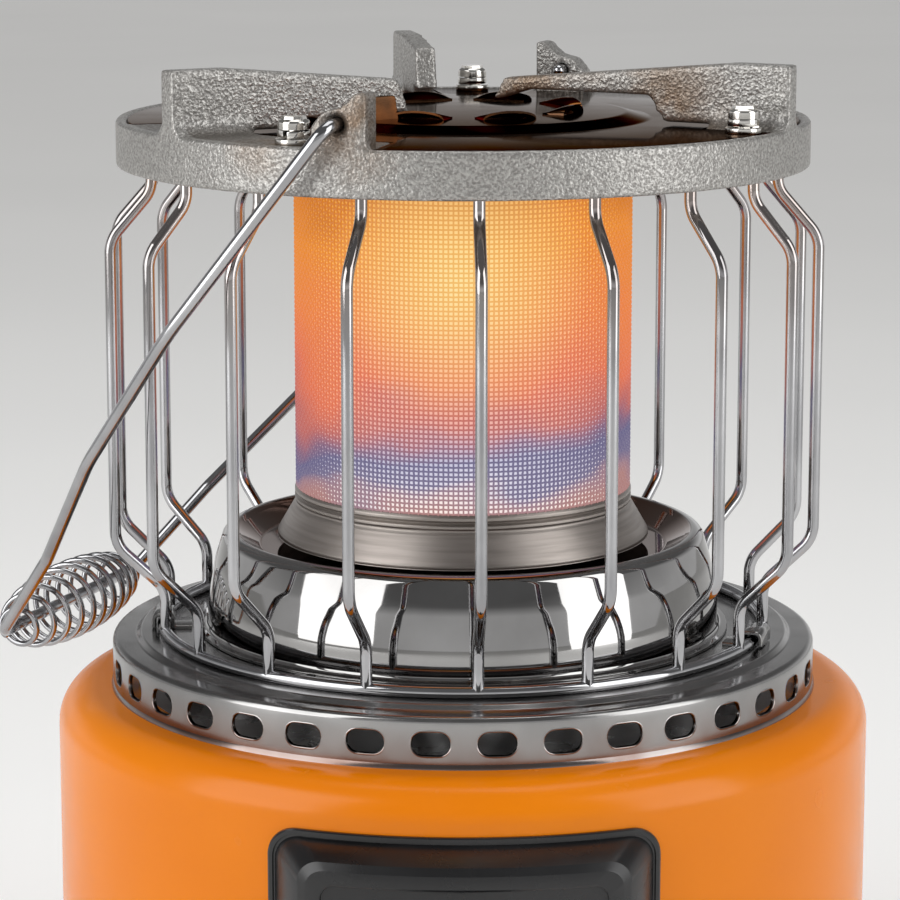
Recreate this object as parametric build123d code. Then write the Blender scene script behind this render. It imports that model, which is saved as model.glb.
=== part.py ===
from build123d import *
import math
import os

# A round tabletop gas heater stove: a drum-shaped body, a glowing mesh burner in a wire
# guard, a cast pot support on top and a wire bail with a coiled grip.
# Millimetres. The origin is on the floor at the centre, +Z is up and the controls face -Y.
# Bearings are in degrees from the front, positive towards +X.

# Clearances and fits
SLIP = 0.2  # gap round a piece that drops into another
RUNNING = 0.05  # radial gap of a turning or sliding fit
THREAD = 0.1  # radial gap round a screw
LIFT = 0.6  # gap that keeps the plate off the casting's raised forms
SEAT_GAP = 0.6  # flat head or nut inside the round shell

# How wires and bends are faceted
WIRE_SIDES = 6
COIL_SIDES = 4
BEND_STEPS = 2
BAR_BEND_STEPS = 1
HOLE_SIDES = 8
SCREW_SIDES = 8

# Heights and steps from the floor up
PAN_BOTTOM = 6.0
SHELL_HEIGHT = 128.0
VENT_HEIGHT = 12.6
VENT_STEP = 1.3
REFLECTOR_HEIGHT = 25.6
SKIRT_DROP = 1.5
SKIRT_HEIGHT = 8.4
COLLAR_HEIGHT = 4.0
MESH_HEIGHT = 81.6
RIM_HEIGHT = 11.5
VANE_HEIGHT = 15.5

# Body shell and base
BODY_RADIUS = 104.0
SHELL_WALL = 1.2
SHOULDER = 9.5
SHELL_MOUTH_MARGIN = 7.5  # from the vent ring's wall in to the shell's mouth
PAN_WALL = 1.2
PAN_DEPTH = 10.0
PAN_VENT_COUNT = 6
PAN_VENT_RADIUS = 5.0
PAN_VENT_MARGIN = 32.0  # from the foot's inner edge in to the air holes
FOOT_MARGIN = 4.0
FOOT_WIDTH = 13.0
FOOT_CHAMFER = 1.5
BASE_SCREW_COUNT = 4

# Small screws: shank radius, head radius, head height
SCREW = 1.5
SCREW_HEAD = 3.2
SCREW_HEAD_HEIGHT = 2.0
SCREW_LENGTH = 6.0
SCREW_CROWN = 0.75

# Control bezel: half widths and heights at its foot and at its front
BEZEL_FOOT_HALF = 45.9
BEZEL_FRONT_HALF = 37.6
BEZEL_HEIGHT = 84.0
BEZEL_SLOPE = 6.0
BEZEL_DEPTH = 9.0
BEZEL_LEDGE = 1.2
BEZEL_CHAMFER = 1.2
BEZEL_PANEL_MARGIN = 4.5
BEZEL_PANEL_DEPTH = 0.8
BEZEL_WINDOW_WIDTH = 64.0
BEZEL_WINDOW_HEIGHT = 48.0
BEZEL_SCREW_MARGIN = 5.0
BEZEL_FRONT_WALL = 3.0
DIAL_WELL_RADIUS = 23.0
DIAL_WELL_DEPTH = 3.5
SPINDLE_HOLE = 7.0
POST_SPACING = 54.0
POST_RADIUS = 4.5

# Gas valve, its bracket and the spindle
VALVE_DROP = 52.8  # from the shell's ceiling down to the spindle
VALVE_SET = 17.0  # from the drum's wall in to the valve's front
VALVE_WIDTH = 28.0
VALVE_DEPTH = 28.0
VALVE_HEIGHT = 36.0
VALVE_CHAMFER = 3.0
BOSS_RADIUS = 9.0
BOSS_LENGTH = 12.0
BOSS_NUT_RADIUS = 13.0
BOSS_NUT_HEIGHT = 3.0
BRACKET_WALL = 2.0
BRACKET_WIDTH = 68.0
BRACKET_HEIGHT = 44.0
PIEZO_RADIUS = 6.0
PIEZO_LENGTH = 14.0
PIEZO_TIP = 3.0
SLEEVE_RADIUS = 5.5
SLEEVE_LENGTH = 17.0
SPINDLE_RADIUS = 3.0
SPINDLE_FLAT = 1.0
SPINDLE_COLLAR = 4.5
SPINDLE_COLLAR_HEIGHT = 1.5
PUSH_TRAVEL = 3.0

# Control knob
KNOB_RADIUS = 21.0
KNOB_TIP_RADIUS = 16.5
KNOB_FLANGE = 2.5
KNOB_HEIGHT = 17.0
KNOB_FREE = 1.0  # left under the knob when it is pushed in
KNOB_FLUTES = 8
KNOB_FLUTE_RADIUS = 3.0
KNOB_FLUTE_OFFSET = 1.8
KNOB_DRAFT = 1.5
KNOB_POINTER_WIDTH = 2.0
KNOB_POINTER_DEPTH = 1.0
KNOB_BORE_DEPTH = 12.0
KNOB_CHAMFER = 1.5

# Gas line
PIPE_RADIUS = 3.0
PIPE_BEND = 8.0
INLET_RISE = 12.8  # from the pan's edge up to the inlet
INLET_RADIUS = 7.94
INLET_THREAD = 14.0
INLET_NOSE = 3.0
INLET_SHANK = 7.0
INLET_HEX = 10.0
INLET_HEX_HEIGHT = 6.0
INLET_BORE = 3.2
INLET_TAIL = 12.0
JET_HEX = 6.5
JET_HEIGHT = 8.0
JET_SPIGOT = 3.0
JET_SPIGOT_LENGTH = 4.0
JET_ORIFICE = 0.6

# Mixing tube and heat shield
TUBE_RADIUS = 11.2
TUBE_WALL = 1.0
TUBE_DROP = 12.8  # how far the tube hangs under the shield
TUBE_FLOOR = 2.0
TUBE_COLLAR = 15.0
TUBE_COLLAR_HEIGHT = 2.0
AIR_PORT_COUNT = 4
AIR_PORT_WIDTH = 5.0
AIR_PORT_HEIGHT = 8.0
SHIELD_MARGIN = 4.0
SHIELD_LIP = 4.0
SHIELD_DEPTH = 12.0
SHIELD_WALL = 1.0

# Chrome vent ring
VENT_MARGIN = 14.0  # from the drum's wall in to the ring
VENT_WALL = 1.0
VENT_LEDGE_WIDTH = 6.0
VENT_SHELF = 22.0
VENT_EDGE = 1.6
VENT_SLOT_COUNT = 36
VENT_SLOT_LENGTH = 9.2
VENT_SLOT_HEIGHT = 4.9
VENT_SLOT_RISE = 6.1

# Reflector and burner, each set in from the piece round it
REFLECTOR_WALL = 0.8
REFLECTOR_MARGIN = 9.0
REFLECTOR_FLANGE_WIDTH = 3.5
REFLECTOR_TAPER = 8.0
DISH_DEPTH = 5.0
DISH_MARGIN = 6.5
SKIRT_MARGIN = 9.0
SKIRT_FLARE = 5.0
CUP_WALL = 0.8
CUP_NECK_WALL = 1.6
COLLAR_BEAD = 0.5
MESH_WALL = 0.6
LINER_GAP = 7.3
LINER_WALL = 1.0
LINER_SLOT_COUNT = 8
LINER_SLOT_WIDTH = 6.0
LINER_SLOT_MARGIN = 12.0
CAP_WALL = 1.0
CAP_SKIRT = 4.0

# Flame sensor and spark electrode, behind the burner
SENSOR_BEARING = 189.0
ELECTRODE_BEARING = 171.0
PROBE_MARGIN = 5.5
PROBE_TIP_GAP = 3.2
PROBE_RADIUS = 1.0
PROBE_RISE = 14.5  # from the mesh's foot up to the tips
PROBE_LEAN = 6.0
PROBE_BEND = 6.0
INSULATOR_RADIUS = 2.2
INSULATOR_HEIGHT = 14.0
INSULATOR_DROP = 8.0
LEAD_RADIUS = 1.2
LEAD_HOLE = 2.5
LEAD_BEND = 8.0

# Wire guard
BAR_COUNT = 18
BAR_FIRST_BEARING = 2.5
BAR_RADIUS = 1.45
RING_MARGIN = 7.0  # from the vent ring's ledge in to the guard's ring
BAR_FLARE = 12.5
BAR_TUCK = 10.5
BAR_TOP_STRAIGHT = 5.5
BAR_TOP_SLANT = 12.0
BAR_FOOT_STRAIGHT = 10.0
BAR_FOOT_SLANT = 12.0
BAR_BEND = 7.0
BAR_SOCKET = 5.0
RING_WIRE = 1.5
CLIP_BEARINGS = (-87.5, 72.5, 172.5)
CLIP_WIDTH = 10.0
CLIP_WALL = 1.0
CLIP_TAIL = 5.0
CLIP_GAP = 0.3

# Cast pot support
CAST_RIM_WIDTH = 8.0  # from the bars' sockets out to the rim
CAST_SEAT_WIDTH = 13.0  # from the bars' sockets in to the opening
RECESS_WALL = 2.4
RECESS_DEPTH = 1.2
VANE_THICKNESS = 5.5
VANE_FOOT_FILLET = 4.0
VANE_LAND = 15.0
VANE_FALL = 0.095  # fall of the top edge per millimetre inwards of the land
VANE_END_SLANT = 3.0
ARM_SLOT_HEIGHT = 4.0
ARM_SLOT_POST = 15.5  # from the casting's opening in to the slot's end
ARM_TIP_LENGTH = 10.0
ARM_TIP_DROP = 3.0
# bearing that each vane's line points along, how far the line passes from the centre, how far the arm
# reaches in from the casting's opening, and whether a slot opens under it
VANES = ((60.0, 9.0, 61.0, True), (190.0, 1.3, 20.0, False), (-60.0, 9.0, 44.0, False))
DECK_FIRST = -76.0  # bearings between which the casting fills the recess
DECK_LAST = -15.0
LUG_DEPTH = 8.0
LUG_LEFT = 6.0  # from the bail's hole to each side, seen from outside
LUG_RIGHT = 7.4
LUG_HEIGHT = 13.0
LUG_TIP = 2.2
LUG_NECK = 1.5
LUG_NECK_HEIGHT = 9.5
LUG_CHEEK = 3.0
LUG_CHEEK_HEIGHT = 8.5
LUG_SIDE_HEIGHT = 5.0

# Top plate and its screws
PLATE_WALL = 1.0
DOME_MARGIN = 19.0
DOME_BEND = 6.0
DOME_SHOULDER_RISE = 1.6
DOME_RISE = 2.4
LOUVRE_COUNT = 8
LOUVRE_LENGTH = 15.0
LOUVRE_WIDTH = 5.0
LOUVRE_MARGIN = 14.0
TOP_SCREW_BEARINGS = (-30.0, 58.0, 178.0)
TOP_SCREW = 2.0
TOP_SCREW_HEAD = 3.8
TOP_SCREW_HEAD_HEIGHT = 3.0
TOP_SCREW_GRIP = 6.0
FLAT_WASHER = 4.5
FLAT_WASHER_WALL = 1.4
SPRING_WASHER = 3.9
SPRING_WASHER_WALL = 2.2
SPRING_WASHER_SPLIT = 1.0

# Bail and its coiled grip, which hangs just above the drum and outside the vent ring
BAIL_BEARING = -20.0
BAIL_WIRE = 1.6
BAIL_RUNNING = 0.15
PIVOT_RISE = 5.5
BAIL_HOOK = 2.5
BAIL_SIDE_GAP = 5.0
BAIL_TAPER = 14.0
KINK_TAPER = 10.0
GRIP_HALF = 40.0
GRIP_LIFT = 0.5
GRIP_GAP = 11.5
KINK_LENGTH = 29.0
WAIST_LENGTH = 41.0
NECK_LENGTH = 45.0
BAIL_CORNER = 4.5
BAIL_SOFT_BEND = 30.0
KINK_BEND = 9.0
COIL_WIRE = 0.8
COIL_BELLY = 9.7
COIL_LENGTH = 70.0
COIL_TURNS = 11
COIL_CLEARANCE = 0.4
COIL_PROBE = 0.01  # part of a turn over which a direction is taken
COIL_SAMPLES = 24  # points per turn where gaps are measured

# Heights worked out from the steps
PAN_FLOOR = PAN_BOTTOM + PAN_WALL
SHELL_BOTTOM = PAN_BOTTOM
SHELL_TOP = SHELL_BOTTOM + SHELL_HEIGHT
SHELL_CEILING = SHELL_TOP - SHELL_WALL
VALVE_Z = SHELL_CEILING - VALVE_DROP
INLET_Z = PAN_FLOOR + PAN_DEPTH + INLET_RISE
SHIELD_FLOOR = SHELL_CEILING - SHIELD_DEPTH
TUBE_BOTTOM = SHIELD_FLOOR - TUBE_DROP
VENT_TOP = SHELL_TOP + VENT_HEIGHT
VENT_PLATEAU = VENT_TOP + VENT_STEP
RING_HALF = RING_WIRE * math.cos(math.pi / WIRE_SIDES)
RING_Z = VENT_PLATEAU + RING_HALF
LIP_TOP = VENT_PLATEAU + REFLECTOR_HEIGHT
DISH_FLOOR = LIP_TOP - DISH_DEPTH
SKIRT_BOTTOM = LIP_TOP - SKIRT_DROP
COLLAR_BOTTOM = SKIRT_BOTTOM + SKIRT_HEIGHT
CUP_FLOOR = COLLAR_BOTTOM
MESH_BOTTOM = COLLAR_BOTTOM + COLLAR_HEIGHT
MESH_TOP = MESH_BOTTOM + MESH_HEIGHT
PROBE_TIP_Z = MESH_BOTTOM + PROBE_RISE
CAST_BOTTOM = MESH_TOP + CAP_WALL
RIM_TOP = CAST_BOTTOM + RIM_HEIGHT
VANE_TOP = RIM_TOP + VANE_HEIGHT
PLATE_BOTTOM = RIM_TOP - RECESS_DEPTH
PLATE_TOP = PLATE_BOTTOM + PLATE_WALL
DOME_TOP = PLATE_TOP + DOME_RISE
VANE_SILL = PLATE_TOP + LIFT
ARM_BOTTOM = DOME_TOP + LIFT
PIVOT_Z = RIM_TOP + PIVOT_RISE
COIL_OUTER = COIL_BELLY + COIL_WIRE
GRIP_Z = SHELL_TOP + GRIP_LIFT + COIL_OUTER

# Radii worked out from the drum inwards
SHELL_INNER = BODY_RADIUS - SHELL_WALL
PAN_RADIUS = SHELL_INNER - SLIP
FOOT_OUTER = BODY_RADIUS - FOOT_MARGIN
PAN_VENT_CIRCLE = FOOT_OUTER - FOOT_WIDTH - PAN_VENT_MARGIN
VENT_RADIUS = BODY_RADIUS - VENT_MARGIN
VENT_LEDGE = VENT_RADIUS - VENT_LEDGE_WIDTH
VENT_MOUTH = VENT_LEDGE - VENT_SHELF
SHELL_MOUTH = VENT_RADIUS - SHELL_MOUTH_MARGIN
SHIELD_RADIUS = SHELL_MOUTH - SHIELD_MARGIN
SHIELD_FLANGE = SHELL_MOUTH + SHIELD_LIP
BAR_FOOT_CIRCLE = VENT_LEDGE - RING_MARGIN
BAR_BELLY = BAR_FOOT_CIRCLE + BAR_FLARE
BAR_TOP_CIRCLE = BAR_BELLY - BAR_TUCK
REFLECTOR_FLANGE = BAR_FOOT_CIRCLE - REFLECTOR_MARGIN
REFLECTOR_FOOT = REFLECTOR_FLANGE - REFLECTOR_FLANGE_WIDTH
REFLECTOR_LIP = REFLECTOR_FOOT - REFLECTOR_TAPER
DISH_RADIUS = REFLECTOR_LIP - DISH_MARGIN
SKIRT_RADIUS = REFLECTOR_LIP - SKIRT_MARGIN
COLLAR_RADIUS = SKIRT_RADIUS - SKIRT_FLARE
MESH_RADIUS = COLLAR_RADIUS - SLIP
LINER_RADIUS = MESH_RADIUS - LINER_GAP
PROBE_CIRCLE = REFLECTOR_LIP - PROBE_MARGIN
PROBE_TIP_CIRCLE = MESH_RADIUS + PROBE_TIP_GAP
PROBE_BEARINGS = (SENSOR_BEARING, ELECTRODE_BEARING)
CAST_RADIUS = BAR_TOP_CIRCLE + CAST_RIM_WIDTH
CAST_INNER = BAR_TOP_CIRCLE - CAST_SEAT_WIDTH
RECESS_RADIUS = CAST_RADIUS - RECESS_WALL
PLATE_RADIUS = RECESS_RADIUS - LIFT
DOME_RADIUS = CAST_INNER - DOME_MARGIN
DOME_SHOULDER = DOME_RADIUS - DOME_BEND
LOUVRE_CIRCLE = DOME_SHOULDER - LOUVRE_MARGIN
ARM_SLOT_REACH = CAST_INNER - ARM_SLOT_POST
TOP_SCREW_CIRCLE = BAR_TOP_CIRCLE
LUG_BEARINGS = (BAIL_BEARING, BAIL_BEARING + 180.0)

# Controls, from the drum's wall outwards and inwards along Y
BEZEL_FRONT_RADIUS = BODY_RADIUS + BEZEL_DEPTH
BEZEL_FOOT_ANGLE = math.degrees(math.asin(BEZEL_FOOT_HALF / (BODY_RADIUS + BEZEL_LEDGE)))
BEZEL_FRONT_ANGLE = math.degrees(math.asin(BEZEL_FRONT_HALF / BEZEL_FRONT_RADIUS))
WELL_FLOOR_Y = -(BEZEL_FRONT_RADIUS - DIAL_WELL_DEPTH)
KNOB_BACK_Y = WELL_FLOOR_Y - PUSH_TRAVEL - KNOB_FREE
VALVE_FRONT = BODY_RADIUS - VALVE_SET
BRACKET_BACK_Y = -VALVE_FRONT
BRACKET_FRONT_Y = BRACKET_BACK_Y - BRACKET_WALL
BOSS_FRONT_Y = BRACKET_BACK_Y - BOSS_LENGTH
SLEEVE_BACK_Y = BOSS_FRONT_Y + SLEEVE_LENGTH
VALVE_BACK_Y = -VALVE_FRONT + VALVE_DEPTH
VALVE_MIDDLE_Y = (VALVE_BACK_Y + BRACKET_BACK_Y) / 2
INLET_TAIL_Y = BODY_RADIUS - INLET_TAIL

# Bail, from its pivot to its grip
GRIP_OUT = VENT_RADIUS + COIL_OUTER + GRIP_GAP
GRIP_DROP = PIVOT_Z - GRIP_Z
GRIP_REACH = math.hypot(GRIP_OUT, GRIP_DROP)
BAIL_SLANT = math.atan2(GRIP_DROP, GRIP_OUT)
KINK_REACH = GRIP_REACH - KINK_LENGTH
WAIST_REACH = KINK_REACH - WAIST_LENGTH
SHOULDER_REACH = WAIST_REACH - NECK_LENGTH
BAIL_WIDTH = CAST_RADIUS + BAIL_SIDE_GAP
BAIL_END = CAST_RADIUS - LUG_DEPTH - BAIL_HOOK
BAIL_WAIST = BAIL_WIDTH - BAIL_TAPER
BAIL_KINK = GRIP_HALF + KINK_TAPER


def place(radius, bearing, height=0.0):
    """Point at a radius and a bearing from the front."""
    angle = math.radians(bearing)
    return Vector(radius * math.sin(angle), -radius * math.cos(angle), height)


def outward_plane(radius, bearing, height):
    """Plane that faces outwards, with its x axis level."""
    outward = place(1.0, bearing)
    level = Vector(-outward.Y, outward.X, 0.0)
    return Plane(origin=place(radius, bearing, height), x_dir=level, z_dir=outward)


def standing_plane(bearing):
    """Upright plane through the axis: x runs outwards along the bearing and y runs up."""
    outward = place(1.0, bearing)
    return Plane(origin=(0, 0, 0), x_dir=outward, z_dir=Vector(outward.Y, -outward.X, 0.0))


def profile_face(points):
    """Closed face in the XZ plane from (radius, height) points."""
    return make_face(Plane.XZ * Polyline(*points, close=True))


def turned(points):
    """Solid of revolution about Z from closed (radius, height) points."""
    return revolve(profile_face(points), axis=Axis.Z)


def shifted(points, distance):
    """Copy of an open line of points, moved sideways to its left with square mitres."""
    normals = []
    for (x0, y0), (x1, y1) in zip(points, points[1:]):
        length = math.hypot(x1 - x0, y1 - y0)
        normals.append((-(y1 - y0) / length, (x1 - x0) / length))
    before = [normals[0]] + normals
    after = normals + [normals[-1]]
    moved = []
    for (x, y), (ax, ay), (bx, by) in zip(points, before, after):
        reach = distance / (1.0 + ax * bx + ay * by)
        moved.append((x + (ax + bx) * reach, y + (ay + by) * reach))
    return moved


def sheet_outline(points, wall):
    """Closed outline of a sheet that follows an open line and lies to its left."""
    return points + shifted(points, wall)[::-1]


def eased(points, bends, steps):
    """Line of points whose inner corners are eased into arcs of a few straight steps."""
    line = [Vector(*points[0])]
    for before, corner, after, bend in zip(points, points[1:], points[2:], bends):
        corner = Vector(*corner)
        back = (Vector(*before) - corner).normalized()
        on = (Vector(*after) - corner).normalized()
        half_turn = (math.pi - math.radians(back.get_angle(on))) / 2
        inward = (back + on).normalized()
        toward = (on - back).normalized()
        centre = corner + inward * (bend / math.cos(half_turn))
        for step in range(steps + 1):
            angle = half_turn * (2 * step / steps - 1)
            line.append(centre + (toward * math.sin(angle) - inward * math.cos(angle)) * bend)
    line.append(Vector(*points[-1]))
    return line


def wire_rod(points, radius):
    """Many-sided wire along straight runs with mitred joints."""
    path = Polyline(*points)
    section = Plane(origin=path @ 0, z_dir=path % 0) * RegularPolygon(radius, WIRE_SIDES)
    return sweep(section, path=path, transition=Transition.RIGHT)


def rod(start, end, radius):
    """Straight round rod between two points."""
    along = Vector(*end) - Vector(*start)
    return extrude(Plane(origin=start, z_dir=along) * Circle(radius), amount=along.length)


def hex_rod(start, end, radius):
    """Straight six-sided rod between two points; the radius is to its corners."""
    along = Vector(*end) - Vector(*start)
    return extrude(Plane(origin=start, z_dir=along) * RegularPolygon(radius, 6), amount=along.length)


def screw(seat, shank, length, head, head_height):
    """Screw whose head stands on a plane and whose shank goes down through it."""
    top = seat.offset(head_height)
    crown = loft([seat * screw_section(head), top * screw_section(head * SCREW_CROWN)], ruled=True)
    return crown + extrude(seat * screw_section(shank), amount=-length)


def screw_section(radius):
    """Many-sided section of a screw or washer."""
    return RegularPolygon(radius, SCREW_SIDES)


def hole_section(radius):
    """Section of a small hole that a round piece of a radius just passes through."""
    return RegularPolygon(radius + THREAD, HOLE_SIDES, major_radius=False)


def small_hole(start, end, radius):
    """Small hole between two points for a round piece of a radius."""
    along = Vector(*end) - Vector(*start)
    return extrude(Plane(origin=start, z_dir=along) * hole_section(radius), amount=along.length)


def screw_hole(seat):
    """Hole for a small screw that sits on a plane."""
    return extrude(seat * hole_section(SCREW), amount=-SCREW_LENGTH)


def foot_ring():
    """Rubber ring that the stove stands on."""
    inner = FOOT_OUTER - FOOT_WIDTH
    return turned([
        (inner, FOOT_CHAMFER),
        (inner + FOOT_CHAMFER, 0.0),
        (FOOT_OUTER - FOOT_CHAMFER, 0.0),
        (FOOT_OUTER, FOOT_CHAMFER),
        (FOOT_OUTER, PAN_BOTTOM),
        (inner, PAN_BOTTOM),
    ])


def base_screw_planes():
    """Planes on the shell, facing outwards, where the base screws sit."""
    step = 360.0 / BASE_SCREW_COUNT
    height = PAN_FLOOR + PAN_DEPTH / 2
    return [outward_plane(BODY_RADIUS, (i + 0.5) * step, height) for i in range(BASE_SCREW_COUNT)]


def base_pan():
    """Pressed pan that closes the bottom, with air holes in its floor."""
    line = [(0.0, PAN_BOTTOM), (PAN_RADIUS, PAN_BOTTOM), (PAN_RADIUS, PAN_FLOOR + PAN_DEPTH)]
    pan = turned(sheet_outline(line, PAN_WALL))
    holes = [screw_hole(seat) for seat in base_screw_planes()]
    for i in range(PAN_VENT_COUNT):
        bearing = i * 360.0 / PAN_VENT_COUNT
        foot = place(PAN_VENT_CIRCLE, bearing)
        holes.append(small_hole(foot, place(PAN_VENT_CIRCLE, bearing, PAN_FLOOR), PAN_VENT_RADIUS))
    return pan - holes


def base_screws():
    """Screws through the shell into the pan's wall."""
    return [
        screw(seat, SCREW, SCREW_LENGTH, SCREW_HEAD, SCREW_HEAD_HEIGHT)
        for seat in base_screw_planes()
    ]


def bezel_screw_planes():
    """Planes inside the shell, facing inwards, where the bezel's screws sit."""
    across = BEZEL_WINDOW_WIDTH / 2 + BEZEL_SCREW_MARGIN
    bearing = math.degrees(math.asin(across / SHELL_INNER))
    rise = BEZEL_WINDOW_HEIGHT / 2
    planes = []
    for side in (-1, 1):
        for height in (VALVE_Z - rise, VALVE_Z + rise):
            facing = outward_plane(SHELL_INNER - SEAT_GAP, side * bearing, height)
            planes.append(Plane(origin=facing.origin, x_dir=facing.x_dir, z_dir=-facing.z_dir))
    return planes


def window_block(front):
    """Block that opens the shell and hollows the bezel behind the controls."""
    middle = (0, -(front + VALVE_FRONT) / 2, VALVE_Z)
    return Pos(*middle) * Box(BEZEL_WINDOW_WIDTH, front - VALVE_FRONT, BEZEL_WINDOW_HEIGHT)


def body_shell():
    """Drum-shaped shell with a rounded shoulder and an open mouth under the vent ring."""
    bend = SHOULDER - SHELL_WALL
    corner = bend - bend * math.sqrt(0.5)
    face = profile_face([
        (SHELL_INNER, SHELL_BOTTOM),
        (BODY_RADIUS, SHELL_BOTTOM),
        (BODY_RADIUS, SHELL_TOP),
        (SHELL_MOUTH, SHELL_TOP),
        (SHELL_MOUTH, SHELL_CEILING),
        (SHELL_INNER - bend, SHELL_CEILING),
        (SHELL_INNER - corner, SHELL_CEILING - corner),
        (SHELL_INNER, SHELL_CEILING - bend),
    ])
    edge = face.vertices().sort_by_distance(Vector(BODY_RADIUS, 0.0, SHELL_TOP))[0]
    shell = revolve(fillet(edge, SHOULDER), axis=Axis.Z)
    inlet = rod((0, 0, INLET_Z), (0, BODY_RADIUS, INLET_Z), INLET_SHANK + SLIP)
    holes = [screw_hole(seat) for seat in base_screw_planes() + bezel_screw_planes()]
    return shell - window_block(BODY_RADIUS) - inlet - holes


def bezel_block(inset):
    """Raised panel on the drum, sloped on all four sides, its front round the drum's axis."""
    top = VALVE_Z + BEZEL_HEIGHT / 2 - inset
    bottom = VALVE_Z - BEZEL_HEIGHT / 2 + inset
    ledge = BODY_RADIUS + BEZEL_LEDGE
    profile = profile_face([
        (BODY_RADIUS, bottom),
        (ledge, bottom),
        (BEZEL_FRONT_RADIUS, bottom + BEZEL_SLOPE),
        (BEZEL_FRONT_RADIUS, top - BEZEL_SLOPE),
        (ledge, top),
        (BODY_RADIUS, top),
    ])
    sweep_angle = 4 * BEZEL_FOOT_ANGLE
    block = Rot(0, 0, -90.0 - sweep_angle / 2) * revolve(profile, Axis.Z, sweep_angle)
    foot = place(ledge, BEZEL_FOOT_ANGLE)
    along = (place(BEZEL_FRONT_RADIUS, BEZEL_FRONT_ANGLE) - foot).normalized()
    for side in (-1, 1):
        out = Vector(-side * along.Y, along.X, 0.0)
        edge = Vector(side * foot.X, foot.Y, VALVE_Z) - out * inset
        block = split(block, bisect_by=Plane(origin=edge, z_dir=out), keep=Keep.BOTTOM)
    return block


def control_bezel():
    """Black moulded panel round the knob, hollow behind, with posts for the valve bracket."""
    bezel = bezel_block(0.0)
    middle = BODY_RADIUS + BEZEL_DEPTH / 2
    crest = [edge for edge in bezel.edges() if math.hypot(edge.center().X, edge.center().Y) > middle]
    bezel = chamfer(crest, BEZEL_CHAMFER)
    sunk = bezel_block(BEZEL_PANEL_MARGIN)
    sunk -= Cylinder(BEZEL_FRONT_RADIUS - BEZEL_PANEL_DEPTH, 2 * SHELL_TOP)
    well = rod((0, WELL_FLOOR_Y, VALVE_Z), (0, -BEZEL_FRONT_RADIUS, VALVE_Z), DIAL_WELL_RADIUS)
    cavity_front = WELL_FLOOR_Y + BEZEL_FRONT_WALL
    hole = rod((0, cavity_front, VALVE_Z), (0, WELL_FLOOR_Y, VALVE_Z), SPINDLE_HOLE)
    holes = [screw_hole(seat) for seat in bezel_screw_planes()]
    bezel = bezel - sunk - well - window_block(-cavity_front) - hole - holes
    for side in (-1, 1):
        tip = bracket_screw_plane(side).offset(-BRACKET_WALL)
        bezel += extrude(tip * Circle(POST_RADIUS), amount=BRACKET_FRONT_Y - cavity_front, dir=(0, -1, 0))
        bezel -= screw_hole(bracket_screw_plane(side))
    return bezel


def bezel_screws():
    """Screws from inside the shell into the bezel."""
    return [
        screw(seat, SCREW, SCREW_LENGTH, SCREW_HEAD, SCREW_HEAD_HEIGHT)
        for seat in bezel_screw_planes()
    ]


def bracket_screw_plane(side):
    """Plane on the bracket's back where one of its two screws sits."""
    return Plane(origin=(side * POST_SPACING / 2, BRACKET_BACK_Y, VALVE_Z), z_dir=(0, 1, 0))


def valve_bracket():
    """Steel plate that hangs the valve from the bezel's posts."""
    middle = (BRACKET_BACK_Y + BRACKET_FRONT_Y) / 2
    plate = Pos(0, middle, VALVE_Z) * Box(BRACKET_WIDTH, BRACKET_WALL, BRACKET_HEIGHT)
    plate -= rod((0, BRACKET_BACK_Y, VALVE_Z), (0, BRACKET_FRONT_Y, VALVE_Z), BOSS_RADIUS + SLIP)
    return plate - [screw_hole(bracket_screw_plane(side)) for side in (-1, 1)]


def bracket_screws():
    """Screws through the bracket into the bezel's posts."""
    return [
        screw(bracket_screw_plane(side), SCREW, SCREW_LENGTH, SCREW_HEAD, SCREW_HEAD_HEIGHT)
        for side in (-1, 1)
    ]


def gas_valve():
    """Die-cast valve block with a threaded front boss for the spindle."""
    block = Pos(0, VALVE_MIDDLE_Y, VALVE_Z) * Box(VALVE_WIDTH, VALVE_DEPTH, VALVE_HEIGHT)
    block = chamfer(block.edges().filter_by(Axis.Z), VALVE_CHAMFER)
    block += rod((0, BRACKET_BACK_Y, VALVE_Z), (0, BOSS_FRONT_Y, VALVE_Z), BOSS_RADIUS)
    bottom = SLEEVE_BACK_Y + SPINDLE_COLLAR_HEIGHT + PUSH_TRAVEL + LIFT
    return block - rod((0, BOSS_FRONT_Y, VALVE_Z), (0, bottom, VALVE_Z), SLEEVE_RADIUS + RUNNING)


def valve_nut():
    """Thin nut that clamps the valve's boss to the bracket."""
    back = (0, BRACKET_FRONT_Y, VALVE_Z)
    front = (0, BRACKET_FRONT_Y - BOSS_NUT_HEIGHT, VALVE_Z)
    return hex_rod(back, front, BOSS_NUT_RADIUS) - rod(back, front, BOSS_RADIUS + THREAD)


def piezo_igniter():
    """Spark unit that stands on the valve, with its lead's terminal on top."""
    base = VALVE_Z + VALVE_HEIGHT / 2
    top = base + PIEZO_LENGTH
    unit = rod((0, VALVE_MIDDLE_Y, base), (0, VALVE_MIDDLE_Y, top), PIEZO_RADIUS)
    return unit + rod((0, VALVE_MIDDLE_Y, top), (0, VALVE_MIDDLE_Y, top + PIEZO_TIP), LEAD_RADIUS)


def spindle_sleeve():
    """Sliding bush that carries the spindle in the valve's boss."""
    back = (0, SLEEVE_BACK_Y, VALVE_Z)
    front = (0, BOSS_FRONT_Y, VALVE_Z)
    return rod(back, front, SLEEVE_RADIUS) - rod(back, front, SPINDLE_RADIUS + RUNNING)


def knob_plane(rise=0.0):
    """Plane across the knob, a distance in front of its back."""
    return Plane(origin=(0, KNOB_BACK_Y - rise, VALVE_Z), x_dir=(1, 0, 0), z_dir=(0, -1, 0))


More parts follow.
